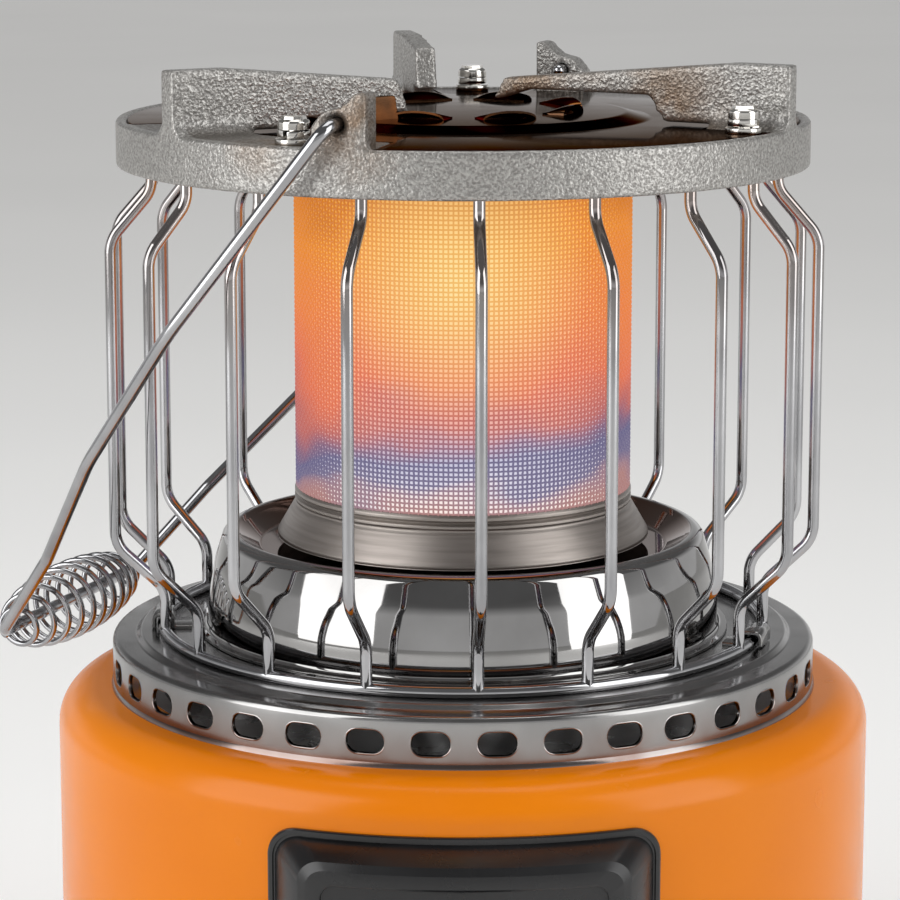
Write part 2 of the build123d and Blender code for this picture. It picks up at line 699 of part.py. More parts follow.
def spindle_section(gap):
    """D-shaped section with one flat, larger all round by a gap."""
    radius = SPINDLE_RADIUS + gap
    cut = Pos(0, radius - SPINDLE_FLAT + radius / 2) * Rectangle(2 * radius, radius)
    return knob_plane() * (Circle(radius) - cut)


def valve_spindle():
    """Spindle with a D-shaped front end for the knob and a collar behind the sleeve."""
    front = (0, SLEEVE_BACK_Y + RUNNING, VALVE_Z)
    back = (0, SLEEVE_BACK_Y + RUNNING + SPINDLE_COLLAR_HEIGHT, VALVE_Z)
    shank = rod(front, (0, KNOB_BACK_Y, VALVE_Z), SPINDLE_RADIUS)
    tip = extrude(spindle_section(0.0), amount=KNOB_BORE_DEPTH - SLIP)
    return rod(front, back, SPINDLE_COLLAR) + shank + tip


def control_knob():
    """Fluted knob on a thin flange, with a D-shaped bore and a pointer groove."""
    flange = extrude(knob_plane() * Circle(KNOB_RADIUS), amount=KNOB_FLANGE)
    foot = knob_plane(KNOB_FLANGE)
    grip = loft([
        foot * Circle(KNOB_TIP_RADIUS + KNOB_DRAFT),
        knob_plane(KNOB_HEIGHT) * Circle(KNOB_TIP_RADIUS),
    ])
    grip = chamfer(grip.faces().sort_by(Axis.Y)[0].edges(), KNOB_CHAMFER)
    for i in range(KNOB_FLUTES):
        spot = Rot(0, 0, (i + 0.5) * 360.0 / KNOB_FLUTES) * Pos(KNOB_TIP_RADIUS + KNOB_FLUTE_OFFSET, 0)
        grip -= extrude(foot * spot * RegularPolygon(KNOB_FLUTE_RADIUS, HOLE_SIDES), amount=KNOB_HEIGHT)
    groove = knob_plane(KNOB_HEIGHT - KNOB_POINTER_DEPTH) * Pos(0, KNOB_TIP_RADIUS / 2)
    grip -= extrude(groove * Rectangle(KNOB_POINTER_WIDTH, KNOB_TIP_RADIUS), amount=KNOB_POINTER_DEPTH)
    return flange + grip - extrude(spindle_section(RUNNING), amount=KNOB_BORE_DEPTH)


def gas_inlet():
    """Brass flare fitting at the back for the gas hose."""
    thread = BODY_RADIUS + INLET_HEX_HEIGHT
    tip = thread + INLET_THREAD
    fitting = hex_rod((0, BODY_RADIUS, INLET_Z), (0, thread, INLET_Z), INLET_HEX)
    fitting += rod((0, INLET_TAIL_Y, INLET_Z), (0, BODY_RADIUS, INLET_Z), INLET_SHANK)
    fitting += rod((0, thread, INLET_Z), (0, tip, INLET_Z), INLET_RADIUS)
    end = Plane(origin=(0, tip, INLET_Z), z_dir=(0, 1, 0))
    fitting += loft([end * Circle(INLET_RADIUS), end.offset(INLET_NOSE) * Circle(INLET_RADIUS - INLET_NOSE)])
    return fitting - rod((0, BODY_RADIUS, INLET_Z), (0, tip + INLET_NOSE, INLET_Z), INLET_BORE)


def inlet_nut():
    """Nut inside the shell that clamps the gas inlet."""
    back = (0, SHELL_INNER - SEAT_GAP, INLET_Z)
    front = (0, SHELL_INNER - SEAT_GAP - INLET_HEX_HEIGHT, INLET_Z)
    return hex_rod(front, back, INLET_HEX) - rod(front, back, INLET_SHANK + THREAD)


def supply_pipe():
    """Pipe from the inlet along the floor of the body to the valve."""
    line = [
        (0, INLET_TAIL_Y, INLET_Z),
        (0, VALVE_MIDDLE_Y, INLET_Z),
        (0, VALVE_MIDDLE_Y, VALVE_Z - VALVE_HEIGHT / 2),
    ]
    return wire_rod(eased(line, [PIPE_BEND], BEND_STEPS), PIPE_RADIUS)


def burner_pipe():
    """Pipe from the valve's back to the jet under the mixing tube."""
    line = [(0, VALVE_BACK_Y, VALVE_Z), (0, 0, VALVE_Z), (0, 0, TUBE_BOTTOM - JET_HEIGHT)]
    return wire_rod(eased(line, [PIPE_BEND], BEND_STEPS), PIPE_RADIUS)


def gas_jet():
    """Brass jet that screws into the floor of the mixing tube."""
    foot = (0, 0, TUBE_BOTTOM - JET_HEIGHT)
    seat = (0, 0, TUBE_BOTTOM)
    tip = (0, 0, TUBE_BOTTOM + JET_SPIGOT_LENGTH)
    return hex_rod(foot, seat, JET_HEX) + rod(seat, tip, JET_SPIGOT) - rod(foot, tip, JET_ORIFICE)


def mixing_tube():
    """Tube that draws in air through its ports and feeds the burner."""
    inner = TUBE_RADIUS - TUBE_WALL
    collar = SHIELD_FLOOR + SHIELD_WALL
    tube = turned([
        (JET_SPIGOT + THREAD, TUBE_BOTTOM),
        (TUBE_RADIUS, TUBE_BOTTOM),
        (TUBE_RADIUS, collar),
        (TUBE_COLLAR, collar),
        (TUBE_COLLAR, collar + TUBE_COLLAR_HEIGHT),
        (TUBE_RADIUS, collar + TUBE_COLLAR_HEIGHT),
        (TUBE_RADIUS, CUP_FLOOR),
        (inner, CUP_FLOOR),
        (inner, TUBE_BOTTOM + TUBE_FLOOR),
        (JET_SPIGOT + THREAD, TUBE_BOTTOM + TUBE_FLOOR),
    ])
    middle = TUBE_BOTTOM + TUBE_FLOOR + AIR_PORT_HEIGHT / 2
    for i in range(AIR_PORT_COUNT):
        seat = outward_plane(0.0, (i + 0.5) * 360.0 / AIR_PORT_COUNT, middle)
        tube -= extrude(seat * Rectangle(AIR_PORT_WIDTH, AIR_PORT_HEIGHT), amount=TUBE_RADIUS)
    return tube


def heat_shield():
    """Dished shield that hangs under the shell's mouth and carries the mixing tube."""
    line = [
        (TUBE_RADIUS + SLIP, SHIELD_FLOOR),
        (SHIELD_RADIUS, SHIELD_FLOOR),
        (SHIELD_RADIUS, SHELL_CEILING - SHIELD_WALL),
        (SHIELD_FLANGE, SHELL_CEILING - SHIELD_WALL),
    ]
    shield = turned(sheet_outline(line, SHIELD_WALL))
    for bearing in PROBE_BEARINGS:
        top = place(PROBE_CIRCLE, bearing, SHELL_TOP)
        shield -= small_hole(place(PROBE_CIRCLE, bearing), top, LEAD_HOLE)
    return shield


def vent_ring():
    """Chrome cap with a band of air slots, a ledge and a raised plateau for the guard."""
    line = [
        (VENT_RADIUS, SHELL_TOP),
        (VENT_RADIUS, VENT_TOP - VENT_EDGE),
        (VENT_RADIUS - VENT_EDGE, VENT_TOP),
        (VENT_LEDGE, VENT_TOP),
        (VENT_LEDGE - VENT_STEP, VENT_PLATEAU),
        (VENT_MOUTH, VENT_PLATEAU),
    ]
    ring = turned(sheet_outline(line, VENT_WALL))
    slots = []
    for i in range(VENT_SLOT_COUNT):
        bearing = (i + 0.5) * 360.0 / VENT_SLOT_COUNT
        seat = outward_plane(VENT_LEDGE, bearing, SHELL_TOP + VENT_SLOT_RISE)
        outline = seat * Rectangle(VENT_SLOT_LENGTH, VENT_SLOT_HEIGHT)
        slots.append(extrude(outline, amount=VENT_RADIUS - VENT_LEDGE + VENT_WALL))
    return ring - slots


def reflector():
    """Polished cone that turns in at its lip to a dished floor under the burner."""
    line = [
        (REFLECTOR_FLANGE, VENT_PLATEAU),
        (REFLECTOR_FOOT - REFLECTOR_WALL, VENT_PLATEAU),
        (REFLECTOR_LIP - REFLECTOR_WALL, LIP_TOP - REFLECTOR_WALL),
        (DISH_RADIUS, DISH_FLOOR),
        (TUBE_RADIUS + SLIP, DISH_FLOOR),
    ]
    bowl = turned(sheet_outline(line, -REFLECTOR_WALL))
    for bearing in PROBE_BEARINGS:
        foot = place(PROBE_CIRCLE, bearing, DISH_FLOOR - DISH_DEPTH)
        bowl -= small_hole(foot, foot + Vector(0, 0, 2 * DISH_DEPTH), INSULATOR_RADIUS)
    return bowl


def burner_cup():
    """Stainless burner base: flared skirt, collar with a bead, floor and a neck on the dish."""
    bead = (MESH_BOTTOM + COLLAR_BOTTOM) / 2
    neck = TUBE_RADIUS + SLIP
    return turned([
        (neck, DISH_FLOOR + REFLECTOR_WALL),
        (neck + CUP_NECK_WALL, DISH_FLOOR + REFLECTOR_WALL),
        (neck + CUP_NECK_WALL, CUP_FLOOR - CUP_WALL),
        (COLLAR_RADIUS - CUP_WALL, CUP_FLOOR - CUP_WALL),
        (SKIRT_RADIUS - CUP_WALL, SKIRT_BOTTOM),
        (SKIRT_RADIUS, SKIRT_BOTTOM),
        (COLLAR_RADIUS, COLLAR_BOTTOM),
        (COLLAR_RADIUS, bead - COLLAR_BEAD),
        (COLLAR_RADIUS + COLLAR_BEAD, bead),
        (COLLAR_RADIUS, bead + COLLAR_BEAD),
        (COLLAR_RADIUS, MESH_BOTTOM),
        (COLLAR_RADIUS - CUP_WALL, MESH_BOTTOM),
        (COLLAR_RADIUS - CUP_WALL, CUP_FLOOR),
        (neck, CUP_FLOOR),
    ])


def burner_mesh():
    """Fine woven gauze tube that glows, here a plain thin wall."""
    inner = MESH_RADIUS - MESH_WALL
    return turned([
        (inner, MESH_BOTTOM), (MESH_RADIUS, MESH_BOTTOM), (MESH_RADIUS, MESH_TOP), (inner, MESH_TOP),
    ])


def flame_liner():
    """Slotted inner tube that spreads the gas behind the mesh."""
    inner = LINER_RADIUS - LINER_WALL
    liner = turned([
        (inner, CUP_FLOOR), (LINER_RADIUS, CUP_FLOOR), (LINER_RADIUS, MESH_TOP), (inner, MESH_TOP),
    ])
    height = MESH_TOP - CUP_FLOOR - 2 * LINER_SLOT_MARGIN
    for i in range(LINER_SLOT_COUNT):
        seat = outward_plane(inner - LINER_WALL, i * 360.0 / LINER_SLOT_COUNT, (MESH_TOP + CUP_FLOOR) / 2)
        liner -= extrude(seat * Rectangle(LINER_SLOT_WIDTH, height), amount=3 * LINER_WALL)
    return liner


def burner_cap():
    """Pressed lid that closes the top of the mesh and the liner."""
    return turned([
        (0.0, MESH_TOP),
        (MESH_RADIUS + SLIP, MESH_TOP),
        (MESH_RADIUS + SLIP, MESH_TOP - CAP_SKIRT),
        (MESH_RADIUS + SLIP + CAP_WALL, MESH_TOP - CAP_SKIRT),
        (MESH_RADIUS + SLIP + CAP_WALL, MESH_TOP + CAP_WALL),
        (0.0, MESH_TOP + CAP_WALL),
    ])


def probe(bearing, foot, bend_circle):
    """Thin rod that stands behind the burner and leans in towards the mesh at its tip."""
    line = [
        place(PROBE_CIRCLE, bearing, foot),
        place(PROBE_CIRCLE, bearing, PROBE_TIP_Z - PROBE_LEAN),
        place(bend_circle, bearing, PROBE_TIP_Z),
    ]
    return wire_rod(eased(line, [PROBE_BEND], BEND_STEPS), PROBE_RADIUS)


def thermocouple():
    """Flame sensor in its sleeve, with its tip by the mesh."""
    seat = place(PROBE_CIRCLE, SENSOR_BEARING, DISH_FLOOR - INSULATOR_DROP)
    sleeve = rod(seat, seat + Vector(0, 0, INSULATOR_HEIGHT), INSULATOR_RADIUS)
    return sleeve + probe(SENSOR_BEARING, DISH_FLOOR, PROBE_TIP_CIRCLE)


def spark_electrode():
    """Electrode wire that lights the burner."""
    return probe(ELECTRODE_BEARING, DISH_FLOOR - INSULATOR_DROP, PROBE_TIP_CIRCLE)


def electrode_insulator():
    """Ceramic sleeve round the electrode."""
    seat = place(PROBE_CIRCLE, ELECTRODE_BEARING, DISH_FLOOR - INSULATOR_DROP)
    top = seat + Vector(0, 0, INSULATOR_HEIGHT)
    return rod(seat, top, INSULATOR_RADIUS) - rod(seat, top, PROBE_RADIUS + THREAD)


def lead(bearing, foot):
    """Insulated lead from a probe down through the heat shield to the valve unit."""
    top = place(PROBE_CIRCLE, bearing, DISH_FLOOR - INSULATOR_DROP)
    side = math.copysign(VALVE_WIDTH, top.X)
    line = [
        top,
        Vector(top.X, top.Y, foot.Z),
        Vector(side, foot.Y, foot.Z),
        foot,
    ]
    return wire_rod(eased(line, [LEAD_BEND, LEAD_BEND], BEND_STEPS), LEAD_RADIUS)


def ignition_lead():
    """Lead from the spark unit to the electrode."""
    top = VALVE_Z + VALVE_HEIGHT / 2 + PIEZO_LENGTH
    return lead(ELECTRODE_BEARING, Vector(PIEZO_RADIUS, VALVE_MIDDLE_Y, top - PIEZO_RADIUS))


def sensor_lead():
    """Lead from the flame sensor to the side of the valve."""
    return lead(SENSOR_BEARING, Vector(-VALVE_WIDTH / 2, VALVE_MIDDLE_Y, VALVE_Z))


def guard_lower_ring():
    """Wire ring on the vent ring's plateau that the guard bars stand on."""
    section = RegularPolygon(RING_WIRE, WIRE_SIDES, rotation=90.0 - 180.0 / WIRE_SIDES)
    return revolve(Plane.XZ * Pos(BAR_FOOT_CIRCLE, RING_Z) * section, axis=Axis.Z)


def guard_bars():
    """Bent bars between the ring and sockets in the casting."""
    ring_top = RING_Z + RING_HALF
    slant_foot = ring_top + BAR_FOOT_STRAIGHT
    slant_top = CAST_BOTTOM - BAR_TOP_STRAIGHT
    line = [
        (BAR_FOOT_CIRCLE, ring_top),
        (BAR_FOOT_CIRCLE, slant_foot),
        (BAR_BELLY, slant_foot + BAR_FOOT_SLANT),
        (BAR_BELLY, slant_top - BAR_TOP_SLANT),
        (BAR_TOP_CIRCLE, slant_top),
        (BAR_TOP_CIRCLE, CAST_BOTTOM + BAR_SOCKET),
    ]
    bars = []
    for i in range(BAR_COUNT):
        bearing = BAR_FIRST_BEARING + i * 360.0 / BAR_COUNT
        points = [place(radius, bearing, height) for radius, height in line]
        bars.append(wire_rod(eased(points, 4 * [BAR_BEND], BAR_BEND_STEPS), BAR_RADIUS))
    return bars


def ring_clips():
    """Bent sheet clips that hold the guard's ring down on the vent ring."""
    reach = RING_WIRE + CLIP_GAP
    inner = BAR_FOOT_CIRCLE - reach
    outer = BAR_FOOT_CIRCLE + reach
    line = [
        (inner - CLIP_TAIL, VENT_PLATEAU),
        (inner, VENT_PLATEAU),
        (inner, RING_Z + reach),
        (outer, RING_Z + reach),
        (outer, VENT_PLATEAU + CLIP_GAP),
    ]
    outline = make_face(Polyline(*sheet_outline(line, CLIP_WALL), close=True))
    return [extrude(standing_plane(b) * outline, amount=CLIP_WIDTH / 2, both=True) for b in CLIP_BEARINGS]


def vane_plane(bearing, offset):
    """Upright plane along a vane's line: x runs outwards and y runs up from the floor."""
    out = place(1.0, bearing)
    middle = Vector(-out.Y, out.X, 0.0) * offset
    return Plane(origin=middle, x_dir=out, z_dir=Vector(out.Y, -out.X, 0.0))


def vane(bearing, offset, inner, slotted):
    """One raised vane of the casting, with a flared foot on the rim and an arm over the plate."""
    plane = vane_plane(bearing, offset)
    outer = CAST_RADIUS
    land = math.sqrt(CAST_RADIUS ** 2 - offset ** 2) - VANE_LAND
    step = DOME_RADIUS + VANE_THICKNESS
    end = inner + VANE_END_SLANT
    side = [
        (outer, VANE_SILL),
        (outer, VANE_TOP),
        (land, VANE_TOP),
        (end, VANE_TOP - VANE_FALL * (land - end)),
    ]
    if slotted:
        slot_top = ARM_BOTTOM + ARM_SLOT_HEIGHT
        side += [
            (inner, slot_top - ARM_TIP_DROP),
            (inner + ARM_TIP_LENGTH, slot_top),
            (ARM_SLOT_REACH - ARM_SLOT_HEIGHT / 2, slot_top),
            (ARM_SLOT_REACH, slot_top - ARM_SLOT_HEIGHT / 2),
            (ARM_SLOT_REACH, ARM_BOTTOM),
        ]
    else:
        side.append((inner, ARM_BOTTOM))
    side += [(step, ARM_BOTTOM), (step, VANE_SILL)]
    blade = extrude(plane * make_face(Polyline(*side, close=True)), amount=VANE_THICKNESS / 2, both=True)
    return blade + vane_foot(plane)


def vane_foot(plane):
    """Flared foot that joins a vane to the rim with a round fillet on both sides."""
    half = VANE_THICKNESS / 2
    wide = half + VANE_FOOT_FILLET
    top = RIM_TOP + VANE_FOOT_FILLET
    sunk = VANE_FOOT_FILLET * math.sqrt(0.5)
    start = plane.origin + plane.x_dir * CAST_INNER
    across = Plane(origin=start, x_dir=-plane.z_dir, z_dir=plane.x_dir)
    with_arcs = [
        Line((-wide, PLATE_BOTTOM), (wide, PLATE_BOTTOM)),
        Line((wide, PLATE_BOTTOM), (wide, RIM_TOP)),
        ThreePointArc((wide, RIM_TOP), (wide - sunk, top - sunk), (half, top)),
        Line((half, top), (-half, top)),
        ThreePointArc((-half, top), (sunk - wide, top - sunk), (-wide, RIM_TOP)),
        Line((-wide, RIM_TOP), (-wide, PLATE_BOTTOM)),
    ]
    return extrude(across * make_face(with_arcs), amount=CAST_RADIUS - CAST_INNER)


def inside_rim(shape):
    """Part of a raised form that lies within the casting's outer wall."""
    return shape & (Pos(0, 0, VANE_TOP) * Cylinder(CAST_RADIUS, 4 * VANE_TOP))


def lug(bearing):
    """Ear on the rim that holds one end of the bail, with a horn at its right."""
    plane = outward_plane(CAST_RADIUS - LUG_DEPTH, bearing, 0.0)
    outline = [
        (-LUG_LEFT, PLATE_BOTTOM),
        (LUG_RIGHT, PLATE_BOTTOM),
        (LUG_RIGHT, RIM_TOP + LUG_HEIGHT),
        (LUG_RIGHT - LUG_TIP, RIM_TOP + LUG_HEIGHT),
        (LUG_NECK, RIM_TOP + LUG_NECK_HEIGHT),
        (-LUG_CHEEK, RIM_TOP + LUG_CHEEK_HEIGHT),
        (-LUG_LEFT, RIM_TOP + LUG_SIDE_HEIGHT),
    ]
    return extrude(plane * make_face(Polyline(*outline, close=True)), amount=LUG_DEPTH)


def deck(inner, outer, bottom, top, spare):
    """Block over the deck's bearings, longer at both ends by a spare length."""
    first = DECK_FIRST - math.degrees(spare / inner)
    last = DECK_LAST + math.degrees(spare / inner)
    section = profile_face([(inner, bottom), (outer, bottom), (outer, top), (inner, top)])
    start = place(1.0, first)
    turn = math.degrees(math.atan2(start.Y, start.X))
    return Rot(0, 0, turn) * revolve(section, axis=Axis.Z, revolution_arc=last - first)


def pot_support():
    """Cast ring with swirled vanes for the pot, ears for the bail and sockets for the bars."""
    casting = turned([
        (CAST_INNER, CAST_BOTTOM),
        (CAST_RADIUS, CAST_BOTTOM),
        (CAST_RADIUS, RIM_TOP),
        (RECESS_RADIUS, RIM_TOP),
        (RECESS_RADIUS, PLATE_BOTTOM),
        (CAST_INNER, PLATE_BOTTOM),
    ])
    casting += deck(CAST_INNER, RECESS_RADIUS, PLATE_BOTTOM, PLATE_TOP, 0.0)
    for bearing, offset, reach, slotted in VANES:
        casting += inside_rim(vane(bearing, offset, CAST_INNER - reach, slotted))
    for bearing in LUG_BEARINGS:
        casting += inside_rim(lug(bearing))
        start = place(CAST_INNER, bearing, PIVOT_Z)
        casting -= rod(start, place(BAIL_WIDTH, bearing, PIVOT_Z), BAIL_WIRE + BAIL_RUNNING)
    holes = []
    for i in range(BAR_COUNT):
        foot = place(BAR_TOP_CIRCLE, BAR_FIRST_BEARING + i * 360.0 / BAR_COUNT, CAST_BOTTOM)
        holes.append(small_hole(foot, foot + Vector(0, 0, BAR_SOCKET), BAR_RADIUS))
    for bearing in TOP_SCREW_BEARINGS:
        foot = place(TOP_SCREW_CIRCLE, bearing, PLATE_BOTTOM - TOP_SCREW_GRIP)
        holes.append(small_hole(foot, foot + Vector(0, 0, TOP_SCREW_GRIP + PLATE_WALL), TOP_SCREW))
    return casting - holes


def top_plate():
    """Bright plate in the casting's recess, domed and slotted over the burner."""
    plate = turned([
        (PLATE_RADIUS, PLATE_BOTTOM),
        (PLATE_RADIUS, PLATE_TOP),
        (DOME_RADIUS, PLATE_TOP),
        (DOME_SHOULDER, PLATE_TOP + DOME_SHOULDER_RISE),
        (0.0, DOME_TOP),
        (0.0, DOME_TOP - PLATE_WALL),
        (DOME_SHOULDER, PLATE_BOTTOM + DOME_SHOULDER_RISE),
        (DOME_RADIUS, PLATE_BOTTOM),
    ])
    notch_half = VANE_THICKNESS / 2 + VANE_FOOT_FILLET + LIFT
    reach = CAST_RADIUS - CAST_INNER + 2 * LIFT
    for bearing, offset, _, _ in VANES:
        along = vane_plane(bearing, offset)
        start = along.origin + along.x_dir * (CAST_INNER - LIFT)
        across = Plane(origin=start + Vector(0, 0, PLATE_TOP), x_dir=along.z_dir, z_dir=along.x_dir)
        plate -= extrude(across * Rectangle(2 * notch_half, 2 * RIM_HEIGHT), amount=reach)
    for bearing in LUG_BEARINGS:
        across = outward_plane(CAST_RADIUS - LUG_DEPTH - LIFT, bearing, PLATE_TOP)
        middle = Pos((LUG_RIGHT - LUG_LEFT) / 2, 0)
        wide = LUG_LEFT + LUG_RIGHT + 2 * LIFT
        plate -= extrude(across * middle * Rectangle(wide, 2 * RIM_HEIGHT), amount=reach)
    plate -= deck(CAST_INNER - LIFT, CAST_RADIUS, PLATE_BOTTOM - LIFT, PLATE_TOP + LIFT, LIFT)
    for bearing in TOP_SCREW_BEARINGS:
        foot = place(TOP_SCREW_CIRCLE, bearing, PLATE_BOTTOM)
        plate -= small_hole(foot, foot + Vector(0, 0, PLATE_WALL), TOP_SCREW)
    for i in range(LOUVRE_COUNT):
        turn = Rot(0, 0, (i + 0.5) * 360.0 / LOUVRE_COUNT) * Pos(LOUVRE_CIRCLE, 0, PLATE_BOTTOM)
        plate -= extrude(turn * Rectangle(LOUVRE_LENGTH, LOUVRE_WIDTH), amount=2 * DOME_RISE)
    return plate


def top_screw_seats(rise):
    """Level planes at the top screws, a distance above the plate."""
    return [Plane(origin=place(TOP_SCREW_CIRCLE, b, PLATE_TOP + rise)) for b in TOP_SCREW_BEARINGS]


def flat_washers():
    """Flat washers on the plate."""
    ring = screw_section(FLAT_WASHER) - hole_section(TOP_SCREW)
    return [extrude(seat * ring, amount=FLAT_WASHER_WALL) for seat in top_screw_seats(0.0)]


def spring_washers():
    """Split spring washers on the flat washers."""
    split_gap = Pos(SPRING_WASHER, 0) * Rectangle(2 * SPRING_WASHER, SPRING_WASHER_SPLIT)
    ring = screw_section(SPRING_WASHER) - hole_section(TOP_SCREW) - split_gap
    return [extrude(seat * ring, amount=SPRING_WASHER_WALL) for seat in top_screw_seats(FLAT_WASHER_WALL)]


def top_screws():
    """Pan-head screws that hold the plate to the casting."""
    stack = FLAT_WASHER_WALL + SPRING_WASHER_WALL
    length = stack + PLATE_WALL + TOP_SCREW_GRIP
    return [
        screw(seat, TOP_SCREW, length, TOP_SCREW_HEAD, TOP_SCREW_HEAD_HEIGHT)
        for seat in top_screw_seats(stack)
    ]


def bail_frame():
    """Directions of the hanging bail: along its pivot, away from the pivot, and across both."""
    along = -place(1.0, BAIL_BEARING)
    level = Vector(-along.Y, along.X, 0.0)
    away = level * math.cos(BAIL_SLANT) - Vector(0, 0, math.sin(BAIL_SLANT))
    return along, away, along.cross(away)


def bail_wire():
    """Wire bail that hooks into both ears and necks in to its grip."""
    along, away, _ = bail_frame()
    half = [
        (BAIL_END, 0.0),
        (BAIL_WIDTH, 0.0),
        (BAIL_WIDTH, SHOULDER_REACH),
        (BAIL_WAIST, WAIST_REACH),
        (BAIL_KINK, KINK_REACH),
        (GRIP_HALF, GRIP_REACH),
    ]
    bends = [BAIL_CORNER, BAIL_SOFT_BEND, BAIL_SOFT_BEND, KINK_BEND, BAIL_CORNER]
    pivot = Vector(0, 0, PIVOT_Z)
    front = [pivot - along * across + away * reach for across, reach in half]
    back = [pivot + along * across + away * reach for across, reach in half]
    return wire_rod(eased(front + back[::-1], bends + bends[::-1], BEND_STEPS), BAIL_WIRE)


def coil_point(turn):
    """Point on the coil's middle line, a barrel-shaped helix round the grip, at a count of turns."""
    along, away, across = bail_frame()
    share = turn / COIL_TURNS
    end = BAIL_WIRE + COIL_WIRE + COIL_CLEARANCE
    fullness = 1.0 - (end / COIL_BELLY) ** 2
    radius = COIL_BELLY * math.sqrt(1.0 - fullness * (2.0 * share - 1.0) ** 2)
    angle = 2.0 * math.pi * turn
    middle = Vector(0, 0, PIVOT_Z) + away * GRIP_REACH + along * (COIL_LENGTH * (share - 0.5))
    return middle + away * (radius * math.cos(angle)) + across * (radius * math.sin(angle))


def coil_direction(turn):
    """Direction of the coil's middle line at a count of turns."""
    before = max(turn - COIL_PROBE, 0.0)
    after = min(turn + COIL_PROBE, COIL_TURNS)
    return (coil_point(after) - coil_point(before)).normalized()


def biarc(start, start_dir, end, end_dir):
    """Two tangent arcs that join two points with given directions."""
    chord = end - start
    both = start_dir + end_dir
    a = 2.0 * (start_dir.dot(end_dir) - 1.0)
    b = -2.0 * chord.dot(both)
    c = chord.dot(chord)
    reach = (-b - math.sqrt(b * b - 4.0 * a * c)) / (2.0 * a)
    first = start + start_dir * reach
    second = end - end_dir * reach
    joint = (first + second) / 2
    return [
        TangentArc(start, joint, tangent=start_dir),
        TangentArc(joint, end, tangent=(second - first).normalized()),
    ]


def coil_path():
    """Middle line of the grip coil: half-turn biarcs with a straight tail at each end."""
    tail = 2.0 * COIL_WIRE
    halves = [i / 2 for i in range(2 * COIL_TURNS + 1)]
    edges = []
    for start, end in zip(halves, halves[1:]):
        edges += biarc(coil_point(start), coil_direction(start), coil_point(end), coil_direction(end))
    first = coil_point(0.0)
    last = coil_point(COIL_TURNS)
    edges.insert(0, Line(first - coil_direction(0.0) * tail, first))
    edges.append(Line(last, last + coil_direction(COIL_TURNS) * tail))
    return Wire(edges)


def coil_gaps(path):
    """Least gap from the coil to itself and to the grip's wire, measured on points."""
    along, away, _ = bail_frame()
    count = COIL_SAMPLES * COIL_TURNS
    points = [path @ (i / count) for i in range(count + 1)]
    itself = min(
        (points[i] - points[j]).length
        for i in range(count + 1)
        for j in range(i + COIL_SAMPLES // 2, count + 1)
    )
    middle = Vector(0, 0, PIVOT_Z) + away * GRIP_REACH
    wire = min((p - middle - along * (p - middle).dot(along)).length for p in points)
    return itself - 2 * COIL_WIRE, wire - COIL_WIRE - BAIL_WIRE


def grip_spring():
    """Barrel-shaped coil of thinner wire round the bail's grip, one unbroken tube."""
    path = coil_path()
    print("grip spring: gap to itself %.2f mm, to the grip wire %.2f mm" % coil_gaps(path))
    section = Plane(origin=path @ 0, z_dir=path % 0) * RegularPolygon(COIL_WIRE, COIL_SIDES)
    return sweep(section, path=path, clean=False)


NODES = (
    foot_ring, base_pan, base_screws, body_shell, control_bezel, bezel_screws, valve_bracket,
    bracket_screws, gas_valve, valve_nut, piezo_igniter, spindle_sleeve, valve_spindle, control_knob,
    gas_inlet, inlet_nut, supply_pipe, burner_pipe, gas_jet, mixing_tube, heat_shield, vent_ring,
    reflector, burner_cup, burner_mesh, flame_liner, burner_cap, thermocouple, spark_electrode,
    electrode_insulator, ignition_lead, sensor_lead, guard_lower_ring, guard_bars, ring_clips,
    pot_support, top_plate, flat_washers, spring_washers, top_screws, bail_wire, grip_spring,
)

os.makedirs("parts", exist_ok=True)
for node in NODES:
    made = node()
    solids = made if isinstance(made, list) else [made]
    bodies = [solid for piece in solids for solid in piece.solids()]
    export_step(Compound(children=bodies), f"parts/{node.__name__}.step")
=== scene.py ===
import logging
import math
from dataclasses import dataclass
from enum import Enum
from typing import Sequence

import bmesh
import bpy
import numpy as np
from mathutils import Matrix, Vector


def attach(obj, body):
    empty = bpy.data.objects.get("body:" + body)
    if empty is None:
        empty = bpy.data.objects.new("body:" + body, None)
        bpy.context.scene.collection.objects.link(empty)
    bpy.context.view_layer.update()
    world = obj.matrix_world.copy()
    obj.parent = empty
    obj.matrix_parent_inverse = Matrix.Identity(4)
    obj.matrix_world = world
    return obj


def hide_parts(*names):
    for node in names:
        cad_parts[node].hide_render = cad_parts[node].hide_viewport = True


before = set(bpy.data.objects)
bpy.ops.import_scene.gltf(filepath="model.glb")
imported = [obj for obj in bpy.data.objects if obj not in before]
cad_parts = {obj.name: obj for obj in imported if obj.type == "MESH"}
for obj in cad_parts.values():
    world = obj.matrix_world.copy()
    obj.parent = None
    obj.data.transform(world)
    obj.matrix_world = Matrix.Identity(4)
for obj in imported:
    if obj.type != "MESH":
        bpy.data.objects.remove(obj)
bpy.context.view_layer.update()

LOG = logging.getLogger("heater_stove")
MM = 0.001
TAU = 2.0 * math.pi
SQUARE = np.array([(-1.0, -1.0), (1.0, -1.0), (1.0, 1.0), (-1.0, 1.0)])
MERGE = 2e-6
Array = np.ndarray
Triple = tuple[float, float, float]
Colour = Triple


class Body(str, Enum):
    """Moving groups of the part, by their names in the frame."""

    BASE = "base"
    KNOB = "knob"
    BAIL = "bail"


@dataclass(frozen=True)
class Surface:
    """A mesh held as arrays: points in millimetres, quads, and a few larger end faces."""

    points: Array
    quads: Array
    ends: tuple[tuple[int, ...], ...] = ()


def unit(vectors: Array) -> Array:
    """Vectors of length one in the same directions."""
    length = np.linalg.norm(vectors, axis=-1, keepdims=True)
    return vectors / np.maximum(length, 1e-12)


